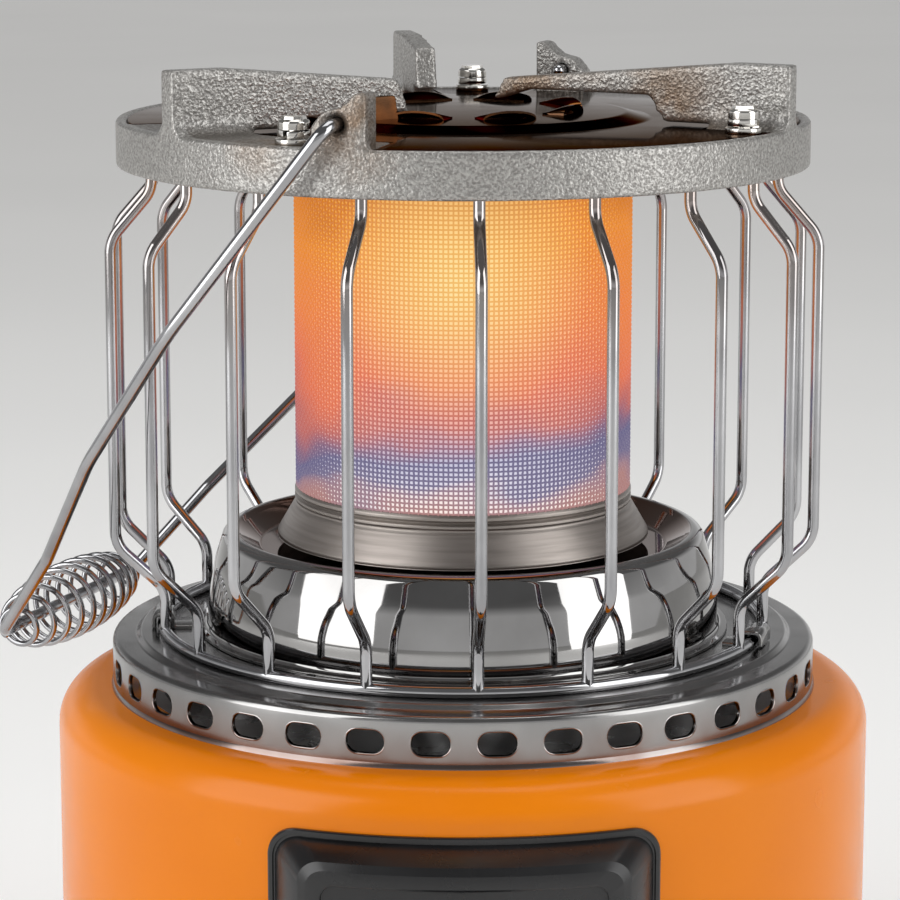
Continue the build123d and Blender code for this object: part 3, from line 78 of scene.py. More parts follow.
def place(radius: Array, side: Array, height: Array, bearing: Array) -> Array:
    """Points at a distance from the axis in a given bearing, stepped sideways along the tangent.

    x = radius sin(bearing) + side cos(bearing), y = -radius cos(bearing) + side sin(bearing).

    Args:
        radius: Distance from the axis along the bearing.
        side: Step along the tangent.
        height: Height over the floor.
        bearing: Degrees from the front towards the right.

    Returns:
        Array with a last axis of x, y and z.
    """
    turn = np.radians(bearing)
    x = radius * np.sin(turn) + side * np.cos(turn)
    y = -radius * np.cos(turn) + side * np.sin(turn)
    return np.stack(np.broadcast_arrays(x, y, height), axis=-1)


def steps_round(count: int) -> Array:
    """Angles in radians, evenly spread over a full turn."""
    return np.arange(count) * TAU / count


def bearings_round(count: int, first: float = 0.0) -> Array:
    """Bearings in degrees, evenly spread over a full turn, the first at a share of a step."""
    return (np.arange(count) + first) * 360.0 / count


def plus_minus(count: int) -> Array:
    """One and minus one in turn."""
    return np.where(np.arange(count) % 2 == 0, 1.0, -1.0)


def grid_quads(rows: int, columns: int, wrap_rows: bool, wrap_columns: bool) -> Array:
    """Quads of a grid of points, each from one point to its next in both directions.

    Args:
        rows: Number of rows of points.
        columns: Points in a row.
        wrap_rows: Whether the last row joins the first.
        wrap_columns: Whether the last column joins the first.

    Returns:
        Array of four point numbers for each quad.
    """
    i = np.arange(rows if wrap_rows else rows - 1)[:, None]
    j = np.arange(columns if wrap_columns else columns - 1)[None, :]
    below, right = (i + 1) % rows, (j + 1) % columns
    corners = (i * columns + j, i * columns + right, below * columns + right, below * columns + j)
    return np.stack(corners, axis=-1).reshape(-1, 4)


def repeat_quads(quads: Array, copies: int, count: int) -> Array:
    """Quads of copies of a mesh that follow each other, each with a count of points."""
    return (quads[None] + (np.arange(copies) * count)[:, None, None]).reshape(-1, 4)


def join(surfaces: Sequence[Surface]) -> Surface:
    """Several surfaces as one, with their point numbers shifted to follow each other."""
    starts = np.cumsum([0] + [len(s.points) for s in surfaces])
    points = np.concatenate([s.points for s in surfaces])
    quads = np.concatenate([s.quads + start for s, start in zip(surfaces, starts)])
    ends = tuple(tuple(int(n + start) for n in end) for s, start in zip(surfaces, starts) for end in s.ends)
    return Surface(points, quads, ends)


def carry(local: Surface, bearings: Sequence[float] | Array) -> Surface:
    """Copies of a surface in radius, side and height, one at each bearing."""
    r, side, height = local.points.T
    return join([Surface(place(r, side, height, b), local.quads, local.ends) for b in bearings])


def rounded(points: Sequence[Sequence[float]], radii: float | Sequence[float], steps: int = 6,
            closed: bool = False) -> Array:
    """A line with an arc in place of each corner.

    The arc starts at radius times tan(turn / 2) before the corner. Its points are the two arms from its centre,
    mixed by sin((1 - u) turn) and sin(u turn) over sin(turn).

    Args:
        points: Corners, in two or three dimensions.
        radii: Radius of each corner, or one for all.
        steps: Parts that each arc has.
        closed: Whether the last point joins the first.

    Returns:
        Points of the line with no point twice in a row.
    """
    p = np.asarray(points, dtype=float)
    radius = np.array(np.broadcast_to(radii, len(p)), dtype=float)
    if not closed:
        radius[[0, -1]] = 0.0
    before, after = unit(p - np.roll(p, 1, axis=0)), unit(np.roll(p, -1, axis=0) - p)
    turn = np.arccos(np.clip((before * after).sum(axis=1), -1.0, 1.0))
    bent = (radius > 0.0) & (turn > 1e-4)
    turn, radius = np.where(bent, turn, 0.5), np.where(bent, radius, 0.0)
    reach = (radius * np.tan(turn / 2))[:, None]
    centre = p + unit(after - before) * (radius / np.cos(turn / 2))[:, None]
    u = np.linspace(0.0, 1.0, steps + 1)[None, :, None]
    wide = turn[:, None, None]
    first, last = (p - before * reach - centre)[:, None], (p + after * reach - centre)[:, None]
    arcs = centre[:, None] + (np.sin((1 - u) * wide) * first + np.sin(u * wide) * last) / np.sin(wide)
    line = np.where(bent[:, None, None], arcs, p[:, None]).reshape(-1, p.shape[1])
    fresh = np.linalg.norm(line - np.roll(line, 1, axis=0), axis=1) > 1e-6
    fresh[0] = fresh[0] or not closed
    return line[fresh]


def lathe(profile: Array, segments: int = 256, closed: bool = True, angles: Array | None = None) -> Surface:
    """A profile of radius and height turned about the axis.

    Args:
        profile: Rows of radius and height.
        segments: Steps round the axis, evenly spread.
        closed: Whether the profile is a ring; if not, it starts and ends on the axis.
        angles: Bearings in degrees to use instead of even steps.

    Returns:
        The turned surface.
    """
    bearing = bearings_round(segments) if angles is None else angles
    points = place(profile[:, :1], 0.0, profile[:, 1:2], bearing[None, :])
    quads = grid_quads(len(profile), len(bearing), closed, True)
    return Surface(points.reshape(-1, 3), quads)


def upright_ring(profile: Array, distance: float, sides: int) -> Surface:
    """A closed profile turned about an upright axis that stands at a distance from the main axis.

    Args:
        profile: Rows of radius and height.
        distance: Distance between the two axes.
        sides: Steps round the ring.

    Returns:
        Surface in radius, side and height.
    """
    turn = steps_round(sides)
    ring = np.stack([distance + profile[:, :1] * np.cos(turn), profile[:, :1] * np.sin(turn),
                     np.broadcast_to(profile[:, 1:], (len(profile), sides))], axis=-1)
    return Surface(ring.reshape(-1, 3), grid_quads(len(profile), sides, True, True))


def tube(path: Array, radius: float, sides: int, reference: Array, closed: bool = False, cap: int = 4) -> Surface:
    """A round wire along a path, with domed ends.

    Each ring stands square to the path: centre + radius (cos a across + sin a up), where across is the
    tangent times the reference direction.

    Args:
        path: Points of the middle line.
        radius: Radius of the wire.
        sides: Points round the wire.
        reference: Direction that is never along the path, one for all points or one each.
        closed: Whether the path is a loop.
        cap: Rings in each domed end.

    Returns:
        The wire's surface.
    """
    if closed:
        tangent = unit(np.roll(path, -1, axis=0) - np.roll(path, 1, axis=0))
    else:
        tangent = unit(np.gradient(path, axis=0))
    across = unit(np.cross(tangent, np.broadcast_to(reference, path.shape)))
    reach = np.full(len(path), radius)
    if not closed:
        a = np.linspace(math.pi / 2, 0.0, cap, endpoint=False)
        head = path[0] - tangent[0] * radius * np.sin(a)[:, None]
        tail = (path[-1] + tangent[-1] * radius * np.sin(a)[:, None])[::-1]
        path = np.concatenate([head, path, tail])
        tangent = np.concatenate([np.repeat(tangent[:1], cap, 0), tangent, np.repeat(tangent[-1:], cap, 0)])
        across = np.concatenate([np.repeat(across[:1], cap, 0), across, np.repeat(across[-1:], cap, 0)])
        reach = np.concatenate([radius * np.cos(a), reach, radius * np.cos(a)[::-1]])
    up = np.cross(across, tangent)
    turn = steps_round(sides)
    ring = np.cos(turn)[None, :, None] * across[:, None] + np.sin(turn)[None, :, None] * up[:, None]
    points = path[:, None] + reach[:, None, None] * ring
    return Surface(points.reshape(-1, 3), grid_quads(len(path), sides, closed, True))


def prism(loop: Array, depths: Sequence[float], shrink: Sequence[float] = (0.0, 0.0)) -> Surface:
    """A closed outline carried along a depth, pulled in towards its middle line at its ends.

    Args:
        loop: Outline in two dimensions, counter-clockwise.
        depths: Depth of each copy of the outline.
        shrink: Distance that each copy is moved in along its own normals.

    Returns:
        Surface in outline x, outline y and depth, with an end face on both ends.
    """
    along = unit(np.roll(loop, -1, axis=0) - np.roll(loop, 1, axis=0))
    inward = np.stack([-along[:, 1], along[:, 0]], axis=1)
    flat = loop[None] + np.asarray(shrink)[:, None, None] * inward[None]
    depth = np.broadcast_to(np.asarray(depths, dtype=float)[:, None, None], flat.shape[:2] + (1,))
    points = np.concatenate([flat, depth], axis=2).reshape(-1, 3)
    count, rows = len(loop), len(depths)
    ends = (tuple(range(count - 1, -1, -1)), tuple(range((rows - 1) * count, rows * count)))
    return Surface(points, grid_quads(rows, count, False, True), ends)


def rounded_reach(angle: Array, half_width: float, half_height: float, corner: float) -> Array:
    """Distance from the middle of a rounded rectangle to its edge in each direction.

    A ray meets a straight side at half_width / |cos| or half_height / |sin|, and in a corner it meets the
    corner's circle at d.c + sqrt((d.c)^2 - c.c + corner^2), with c the circle's centre.

    Args:
        angle: Directions in radians.
        half_width: Half of the width.
        half_height: Half of the height.
        corner: Radius of the corners.

    Returns:
        The distances.
    """
    x, y = np.abs(np.cos(angle)), np.abs(np.sin(angle))
    straight = np.minimum(half_width / np.maximum(x, 1e-9), half_height / np.maximum(y, 1e-9))
    cx, cy = half_width - corner, half_height - corner
    dot = x * cx + y * cy
    under = np.maximum(dot ** 2 - cx ** 2 - cy ** 2 + corner ** 2, 0.0)
    in_corner = (straight * x > cx) & (straight * y > cy)
    return np.where(in_corner, dot + np.sqrt(under), straight)


def smooth_step(value: Array, low: float, high: float) -> Array:
    """Rises from 0 to 1 between two values as 3t^2 - 2t^3."""
    t = np.clip((value - low) / (high - low), 0.0, 1.0)
    return t * t * (3.0 - 2.0 * t)


class NodeGraph:
    """A material's nodes, added and linked by short calls."""

    def __init__(self, name: str) -> None:
        """Start a material with its shader, output and object coordinates."""
        self.material = bpy.data.materials.new(name)
        self.material.use_nodes = True
        self.tree = self.material.node_tree
        self.tree.nodes.clear()
        self.shader = self.add("ShaderNodeBsdfPrincipled")
        output = self.add("ShaderNodeOutputMaterial")
        self.tree.links.new(self.shader.outputs["BSDF"], output.inputs["Surface"])
        self.coords = self.add("ShaderNodeTexCoord").outputs["Object"]

    def add(self, kind: str, **settings: object) -> bpy.types.Node:
        """A new node of a kind, with its settings."""
        node = self.tree.nodes.new(kind)
        for key, value in settings.items():
            setattr(node, key, value)
        return node

    def link(self, source: bpy.types.NodeSocket, socket: str) -> None:
        """Link an output to one of the shader's sockets."""
        self.tree.links.new(source, self.shader.inputs[socket])

    def fixed(self, **values: float | Colour) -> None:
        """Set constants on the shader's own sockets, named with _ for spaces."""
        for key, value in values.items():
            socket = self.shader.inputs[key.replace("_", " ")]
            socket.default_value = (*value, 1.0) if isinstance(value, tuple) else value

    def mapped(self, scale: Triple) -> bpy.types.NodeSocket:
        """Object coordinates, stretched."""
        node = self.add("ShaderNodeMapping")
        node.inputs["Scale"].default_value = scale
        self.tree.links.new(self.coords, node.inputs["Vector"])
        return node.outputs["Vector"]

    def noise(self, scale: float, detail: float = 2.0, stretch: Triple = (1.0, 1.0, 1.0)) -> bpy.types.NodeSocket:
        """Cloudy noise of a scale per metre."""
        node = self.add("ShaderNodeTexNoise")
        node.inputs["Scale"].default_value = scale
        node.inputs["Detail"].default_value = detail
        self.tree.links.new(self.mapped(stretch), node.inputs["Vector"])
        return node.outputs["Fac"]

    def height(self) -> bpy.types.NodeSocket:
        """Height of a point over the floor, in metres."""
        node = self.add("ShaderNodeSeparateXYZ")
        self.tree.links.new(self.coords, node.inputs["Vector"])
        return node.outputs["Z"]

    def from_axis(self) -> bpy.types.NodeSocket:
        """Distance of a point from the upright axis, in metres."""
        node = self.add("ShaderNodeVectorMath", operation="LENGTH")
        self.tree.links.new(self.mapped((1.0, 1.0, 0.0)), node.inputs[0])
        return node.outputs["Value"]

    def near(self, point: Triple, reach: float) -> bpy.types.NodeSocket:
        """One at a point, falling to zero at a distance from it, in metres."""
        node = self.add("ShaderNodeVectorMath", operation="DISTANCE")
        self.tree.links.new(self.coords, node.inputs[0])
        node.inputs[1].default_value = point
        return self.span(node.outputs["Value"], 0.0, reach, 1.0, 0.0)

    def maths(self, operation: str, first: object, second: object) -> bpy.types.NodeSocket:
        """Result of one step of maths on sockets or numbers."""
        node = self.add("ShaderNodeMath", operation=operation)
        for socket, value in zip(node.inputs, (first, second)):
            if isinstance(value, bpy.types.NodeSocket):
                self.tree.links.new(value, socket)
            else:
                socket.default_value = value
        return node.outputs["Value"]

    def span(self, factor: bpy.types.NodeSocket, low: float, high: float, first: float,
             last: float) -> bpy.types.NodeSocket:
        """A value carried from one range to another, held at its ends."""
        node = self.add("ShaderNodeMapRange")
        self.tree.links.new(factor, node.inputs["Value"])
        for key, value in (("From Min", low), ("From Max", high), ("To Min", first), ("To Max", last)):
            node.inputs[key].default_value = value
        return node.outputs["Result"]

    def ramp(self, factor: bpy.types.NodeSocket, stops: Sequence[tuple[float, Colour]]) -> bpy.types.NodeSocket:
        """Colours along a factor, mixed from stop to stop."""
        node = self.add("ShaderNodeValToRGB")
        elements = node.color_ramp.elements
        while len(elements) < len(stops):
            elements.new(0.5)
        for element, (position, colour) in zip(elements, stops):
            element.position = position
            element.color = (*colour, 1.0)
        self.tree.links.new(factor, node.inputs["Fac"])
        return node.outputs["Color"]

    def mix(self, factor: bpy.types.NodeSocket, first: object, second: object) -> bpy.types.NodeSocket:
        """Two colours mixed by a factor."""
        node = self.add("ShaderNodeMix", data_type="RGBA")
        share, colours, mixed = node.inputs[0], node.inputs[6:8], node.outputs[2]
        self.tree.links.new(factor, share)
        for socket, value in zip(colours, (first, second)):
            if isinstance(value, bpy.types.NodeSocket):
                self.tree.links.new(value, socket)
            else:
                socket.default_value = (*value, 1.0)
        return mixed

    def bump(self, height: bpy.types.NodeSocket, depth: float, strength: float = 1.0) -> None:
        """Raise the surface's shading by a height, over a depth in millimetres."""
        node = self.add("ShaderNodeBump")
        node.inputs["Strength"].default_value = strength
        node.inputs["Distance"].default_value = depth * MM
        self.tree.links.new(height, node.inputs["Height"])
        self.tree.links.new(node.outputs["Normal"], self.shader.inputs["Normal"])


@dataclass(frozen=True)
class Finish:
    """A finish of the part; each kind fills in its own nodes."""

    name: str
    slot: str

    def material(self) -> bpy.types.Material:
        """The finish's material, made once, under a name that no solid's own material has."""
        name = f"{self.name}_finish"
        known = bpy.data.materials.get(name)
        if known:
            return known
        graph = NodeGraph(name)
        self.fill(graph)
        return graph.material

    def fill(self, graph: NodeGraph) -> None:
        """Add the finish's own nodes."""
        raise NotImplementedError


@dataclass(frozen=True)
class Enamel(Finish):
    """Glossy coloured enamel with slight unevenness in colour and surface."""

    deep: Colour = (0.73, 0.186, 0.0005)
    light: Colour = (0.82, 0.230, 0.0010)

    def fill(self, graph: NodeGraph) -> None:
        """Cloudy colour, patchy gloss and a faint orange-peel bump."""
        cloud = graph.noise(9.0, 3.0)
        graph.link(graph.ramp(cloud, ((0.3, self.deep), (0.7, self.light))), "Base Color")
        graph.link(graph.span(graph.noise(60.0, 4.0), 0.3, 0.7, 0.20, 0.28), "Roughness")
        graph.fixed(Specular_IOR_Level=0.27)
        graph.bump(graph.noise(700.0, 1.0), 0.01, 0.12)


@dataclass(frozen=True)
class Moulding(Finish):
    """Moulded plastic or rubber with a fine grain."""

    deep: Colour = (0.006, 0.006, 0.0065)
    light: Colour = (0.014, 0.014, 0.015)
    smooth: float = 0.2
    rough: float = 0.34
    grain: float = 0.02

    def fill(self, graph: NodeGraph) -> None:
        """Cloudy colour, patchy gloss and a fine grain bump."""
        graph.link(graph.ramp(graph.noise(25.0, 4.0), ((0.3, self.deep), (0.7, self.light))), "Base Color")
        graph.link(graph.span(graph.noise(45.0, 5.0), 0.3, 0.7, self.smooth, self.rough), "Roughness")
        graph.bump(graph.noise(1800.0, 2.0), self.grain, 0.4)


@dataclass(frozen=True)
class Plated(Finish):
    """Bright metal with faint smudges, and brown heat tint where it is hot."""

    deep: Colour = (0.26, 0.26, 0.27)
    light: Colour = (0.46, 0.46, 0.47)
    smooth: float = 0.04
    rough: float = 0.12
    streak: Triple = (1.0, 1.0, 1.0)
    grain: float = 0.0
    tint: Colour = (0.42, 0.22, 0.10)
    tint_low: float = 9.0
    tint_high: float = 10.0
    tint_most: float = 0.0
    brown_within: float = 0.0

    def fill(self, graph: NodeGraph) -> None:
        """Streaked or cloudy colour and gloss, tinted between two heights or near the axis."""
        cloud = graph.noise(30.0, 5.0, self.streak)
        colour = graph.ramp(cloud, ((0.25, self.deep), (0.6, self.light)))
        if self.tint_most > 0.0:
            rise = graph.span(graph.height(), self.tint_low, self.tint_high, 0.0, self.tint_most)
            patch = graph.maths("MULTIPLY", rise, graph.span(graph.noise(40.0, 3.0), 0.35, 0.65, 0.3, 1.0))
            colour = graph.mix(patch, colour, self.tint)
        if self.brown_within > 0.0:
            inside = graph.span(graph.from_axis(), self.brown_within - 0.0008, self.brown_within, 0.93, 0.0)
            colour = graph.mix(inside, colour, self.tint)
        graph.link(colour, "Base Color")
        graph.fixed(Metallic=1.0)
        graph.link(graph.span(graph.noise(80.0, 6.0, self.streak), 0.35, 0.7, self.smooth, self.rough), "Roughness")
        if self.grain > 0.0:
            graph.bump(graph.noise(60.0, 4.0, self.streak), self.grain, 0.5)


@dataclass(frozen=True)
class Casting(Finish):
    """Sand-cast light alloy: a pale granular skin, browned where hot gas passes."""

    deep: Colour = (0.25, 0.24, 0.228)
    light: Colour = (0.43, 0.42, 0.40)
    brown: Colour = (0.20, 0.125, 0.07)
    # shade, seat and seat_shade: colour of the painted shade, and the radius and heights within which the deck inside
    # the rim is darkened towards it
    shade: Colour = (0.13, 0.115, 0.10)
    seat: float = 0.0846
    seat_shade: tuple[float, float] = (0.2786, 0.2815)
    hot_spots: tuple[tuple[Triple, float], ...] = (
        ((-0.0245, -0.080, 0.284), 0.016), ((-0.044, -0.066, 0.279), 0.013), ((0.010, 0.004, 0.284), 0.040),
        ((0.049, -0.020, 0.281), 0.022))

    def fill(self, graph: NodeGraph) -> None:
        """Two sizes of grain in colour, gloss and bump, painted shade on the low deck inside the rim, and brown by the
        ear and the arms' ends.
        """
        fine, coarse = graph.noise(1500.0, 1.0), graph.noise(800.0, 1.0)
        grain = graph.maths("ADD", graph.maths("MULTIPLY", fine, 0.5), graph.maths("MULTIPLY", coarse, 0.5))
        colour = graph.ramp(fine, ((0.36, self.deep), (0.62, self.light)))
        # Painted shade: the deck inside the rim, at the height of the plate, is mixed towards the shade colour, where
        # the rim and vanes shade it.
        inside = graph.span(graph.from_axis(), self.seat - 0.001, self.seat, 1.0, 0.0)
        low = graph.span(graph.height(), *self.seat_shade, 0.8, 0.0)
        colour = graph.mix(graph.maths("MULTIPLY", inside, low), colour, self.shade)
        hot = graph.near(*self.hot_spots[0])
        for point, reach in self.hot_spots[1:]:
            hot = graph.maths("MAXIMUM", hot, graph.near(point, reach))
        patch = graph.maths("MULTIPLY", hot, graph.span(graph.noise(120.0, 4.0), 0.36, 0.6, 0.25, 1.0))
        graph.link(graph.mix(patch, colour, self.brown), "Base Color")
        graph.fixed(Metallic=0.7, Specular_IOR_Level=0.3)
        graph.link(graph.span(fine, 0.35, 0.65, 0.50, 0.30), "Roughness")
        graph.bump(grain, 0.5, 1.0)


@dataclass(frozen=True)
class TintedPlate(Finish):
    """Bright plate coloured dark brown by heat, with bluer and redder clouds."""

    def fill(self, graph: NodeGraph) -> None:
        """Clouds of brown, red-brown and blue-grey on mirror-like metal."""
        stops = ((0.30, (0.040, 0.024, 0.016)), (0.46, (0.095, 0.045, 0.022)), (0.60, (0.22, 0.085, 0.030)),
                 (0.74, (0.085, 0.060, 0.052)))
        graph.link(graph.ramp(graph.noise(38.0, 4.0), stops), "Base Color")
        graph.fixed(Metallic=1.0, Specular_Tint=(0.16, 0.10, 0.06))
        graph.link(graph.span(graph.noise(90.0, 5.0), 0.3, 0.7, 0.05, 0.14), "Roughness")


class Glow(Enum):
    """Colours of the burner's glow from its foot to its top, for the wires and for the gaps behind them."""

    WIRES = ((0.00, (0.44, 0.22, 0.21)), (0.04, (0.36, 0.21, 0.25)), (0.08, (0.17, 0.15, 0.27)),
             (0.15, (0.140, 0.130, 0.26)), (0.20, (0.24, 0.13, 0.22)), (0.27, (0.54, 0.145, 0.13)),
             (0.38, (0.80, 0.18, 0.085)), (0.58, (0.88, 0.235, 0.055)), (0.80, (0.86, 0.27, 0.028)),
             (1.00, (0.58, 0.16, 0.012)))
    GAPS = ((0.00, (1.00, 0.86, 0.80)), (0.04, (0.92, 0.80, 0.80)), (0.08, (0.70, 0.68, 0.80)),
            (0.15, (0.56, 0.55, 0.70)), (0.20, (0.64, 0.48, 0.58)), (0.27, (0.86, 0.46, 0.40)),
            (0.38, (0.98, 0.44, 0.27)), (0.58, (1.00, 0.50, 0.21)), (0.80, (1.00, 0.50, 0.11)),
            (1.00, (0.74, 0.30, 0.045)))


@dataclass(frozen=True)
class Gauze(Finish):
    """Glowing burner: colour rises from pale rose through blue-violet and salmon to orange."""

    glow: Glow
    spot: Colour = (1.0, 0.62, 0.16)
    bottom: float = 0.1844
    top: float = 0.266
    spot_at: Triple = (-0.001, -0.041, 0.242)
    spot_reach: float = 0.034
    strength: float = 1.0

    def fill(self, graph: NodeGraph) -> None:
        """Emission by height, moved by clouds, with a bright patch at the upper front."""
        rise = graph.span(graph.height(), self.bottom, self.top, 0.0, 1.0)
        cloud = graph.span(graph.noise(24.0, 2.0, (1.0, 1.0, 1.6)), 0.3, 0.7, -0.08, 0.08)
        glow = graph.ramp(graph.maths("ADD", rise, cloud), self.glow.value)
        bright = graph.maths("MULTIPLY", graph.near(self.spot_at, self.spot_reach), 0.85)
        graph.link(graph.mix(bright, glow, self.spot), "Emission Color")
        graph.fixed(Emission_Strength=self.strength, Metallic=0.2)
        graph.link(graph.ramp(cloud, ((0.0, (0.05, 0.04, 0.04)), (1.0, (0.09, 0.07, 0.06)))), "Base Color")
        graph.link(graph.span(graph.noise(200.0, 3.0), 0.3, 0.7, 0.5, 0.7), "Roughness")


@dataclass(frozen=True)
class Mineral(Finish):
    """Ceramic with faint clouds and specks."""

    def fill(self, graph: NodeGraph) -> None:
        """Off-white clouds with a soft gloss."""
        graph.link(graph.ramp(graph.noise(220.0, 4.0), ((0.3, (0.62, 0.60, 0.55)), (0.7, (0.80, 0.78, 0.74)))),
                   "Base Color")
        graph.link(graph.span(graph.noise(400.0, 3.0), 0.3, 0.7, 0.25, 0.45), "Roughness")


ORANGE_ENAMEL = Enamel("orange_enamel", "orange_enamel")
BLACK_MOULDING = Moulding("black_moulding", "black_moulding")
POINTER_WHITE = Moulding("pointer_white", "black_moulding", deep=(0.72, 0.72, 0.70), light=(0.84, 0.84, 0.82))
DARK_PLASTIC = Moulding("dark_plastic", "dark_plastic", deep=(0.012, 0.012, 0.013), light=(0.03, 0.03, 0.032),
                        smooth=0.35, rough=0.5)
RUBBER = Moulding("rubber", "rubber", deep=(0.010, 0.010, 0.010), light=(0.022, 0.022, 0.021), smooth=0.6,
                  rough=0.8, grain=0.08)
LEAD_SLEEVE = Moulding("lead_sleeve", "lead_sleeve", deep=(0.26, 0.030, 0.022), light=(0.40, 0.050, 0.035),
                       smooth=0.5, rough=0.7, grain=0.05)
BRIGHT_WIRE = Plated("bright_wire", "chrome_plate", tint_low=0.225, tint_high=0.268, tint_most=0.35)
BAIL_PLATE = Plated("bail_plate", "chrome_plate", smooth=0.08, rough=0.18)
BAND_PLATE = Plated("band_plate", "chrome_plate", deep=(0.19, 0.187, 0.185), light=(0.34, 0.335, 0.33), smooth=0.14,
                    rough=0.26, tint=(0.15, 0.062, 0.034), tint_low=0.1445, tint_high=0.1350, tint_most=0.8)
MIRROR_SHEET = Plated("mirror_sheet", "chrome_plate", deep=(0.25, 0.245, 0.24), light=(0.37, 0.365, 0.36),
                      smooth=0.03, rough=0.07, tint=(0.105, 0.042, 0.020), brown_within=0.0588)
BRUSHED_SHEET = Plated("brushed_sheet", "stainless_sheet", deep=(0.25, 0.225, 0.205), light=(0.35, 0.315, 0.29),
                       smooth=0.36, rough=0.46, streak=(1.0, 1.0, 30.0), grain=0.006)
TINTED_PLATE = TintedPlate("tinted_plate", "tinted_plate")
CORE_GLOW = Gauze("core_glow", "glowing_gauze", Glow.GAPS, spot=(1.0, 0.82, 0.40), strength=0.98)
WIRE_GLOW = Gauze("wire_glow", "glowing_gauze", Glow.WIRES, strength=0.86)
CAST_ALLOY = Casting("cast_alloy", "cast_aluminium")
ZINC_STEEL = Plated("zinc_steel", "zinc_steel", deep=(0.42, 0.42, 0.43), light=(0.62, 0.62, 0.62), smooth=0.25,
                    rough=0.42)
SCREW_PLATE = Plated("screw_plate", "chrome_plate", deep=(0.52, 0.50, 0.47), light=(0.74, 0.72, 0.68), smooth=0.1,
                     rough=0.24)
BRASS = Plated("brass", "brass", deep=(0.52, 0.33, 0.10), light=(0.74, 0.52, 0.20), smooth=0.16, rough=0.32)
GAS_PIPE = Plated("gas_pipe", "gas_pipe", deep=(0.46, 0.46, 0.47), light=(0.68, 0.68, 0.69), smooth=0.2, rough=0.34)
CERAMIC = Mineral("ceramic", "ceramic")


class Shop:
    """Turns surfaces into the scene's pieces and dresses the solids that stay."""

    @staticmethod
    def mesh(name: str, surface: Surface, sharp: float) -> bpy.types.Mesh:
        """A merged mesh with outward faces, smooth but for edges over an angle.

        Args:
            name: Name of the mesh.
            surface: Shape in millimetres.
            sharp: Angle in degrees over which an edge stays sharp.

        Returns:
            The mesh, in metres.
        """
        mesh = bpy.data.meshes.new(name)
        mesh.from_pydata(surface.points * MM, [], surface.quads.tolist() + [list(e) for e in surface.ends])
        Shop.tidy(mesh)
        mesh.shade_smooth()
        mesh.set_sharp_from_angle(angle=math.radians(sharp))
        return mesh

    @staticmethod
    def tidy(mesh: bpy.types.Mesh) -> None:
        """Merge a mesh's doubled points and turn its faces outwards."""
        shell = bmesh.new()
        shell.from_mesh(mesh)
        bmesh.ops.remove_doubles(shell, verts=shell.verts, dist=MERGE)
        bmesh.ops.recalc_face_normals(shell, faces=shell.faces)
        shell.to_mesh(mesh)
        shell.free()

    @staticmethod
    def piece(name: str, surface: Surface, body: Body, finish: Finish, stands_for: Sequence[str] = (),
              sharp: float = 38.0, holes: Surface | None = None) -> bpy.types.Object:
        """A finished piece that rides on a body.

        Args:
            name: Name of the piece.
            surface: Shape in millimetres.
            body: Body that it moves with.
            finish: Its finish.
            stands_for: Solids of the frame that it replaces.
            sharp: Angle in degrees over which an edge stays sharp.
            holes: Closed shapes to cut away from it.

        Returns:
            The new object.
        """
        piece = bpy.data.objects.new(name, Shop.mesh(name, surface, sharp))
        bpy.context.scene.collection.objects.link(piece)
        if holes is not None:
            Shop.cut(piece, holes, sharp)
        return Shop.dress(piece, body, finish, stands_for)

    @staticmethod
    def dress(piece: bpy.types.Object, body: Body, finish: Finish, stands_for: Sequence[str]) -> bpy.types.Object:
        """Give a piece its material and body, and hide the solids it stands for."""
        piece.data.materials.clear()
        piece.data.materials.append(finish.material())
        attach(piece, body.value)
        if stands_for:
            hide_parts(*stands_for)
        LOG.info("%s: %d faces on %s", piece.name, len(piece.data.polygons), body.value)
        return piece

    @staticmethod
    def baked(piece: bpy.types.Object) -> None:
        """Apply a piece's modifiers to its mesh."""
        graph = bpy.context.evaluated_depsgraph_get()
        old = piece.data
        made = bpy.data.meshes.new_from_object(piece.evaluated_get(graph))
        piece.modifiers.clear()
        piece.data = made
        name = old.name
        bpy.data.meshes.remove(old)
        made.name = name

    @staticmethod
    def cut(piece: bpy.types.Object, holes: Surface, sharp: float) -> None:
        """Cut closed shapes away from a piece."""
        cutter = bpy.data.objects.new("cutter", Shop.mesh("cutter", holes, 30.0))
        bpy.context.scene.collection.objects.link(cutter)
        modifier = piece.modifiers.new("holes", "BOOLEAN")
        modifier.object, modifier.operation, modifier.solver = cutter, "DIFFERENCE", "EXACT"
        modifier.use_self = True
        Shop.baked(piece)
        mesh = cutter.data
        bpy.data.objects.remove(cutter)
        bpy.data.meshes.remove(mesh)
        piece.data.shade_smooth()
        piece.data.set_sharp_from_angle(angle=math.radians(sharp))

    @staticmethod
    def keep(finish: Finish, *nodes: str) -> None:
        """Give solids that stay as they are a finish."""
        for node in nodes:
            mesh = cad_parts[node].data
            mesh.materials.clear()
            mesh.materials.append(finish.material())
            LOG.info("%s: kept solid", node)


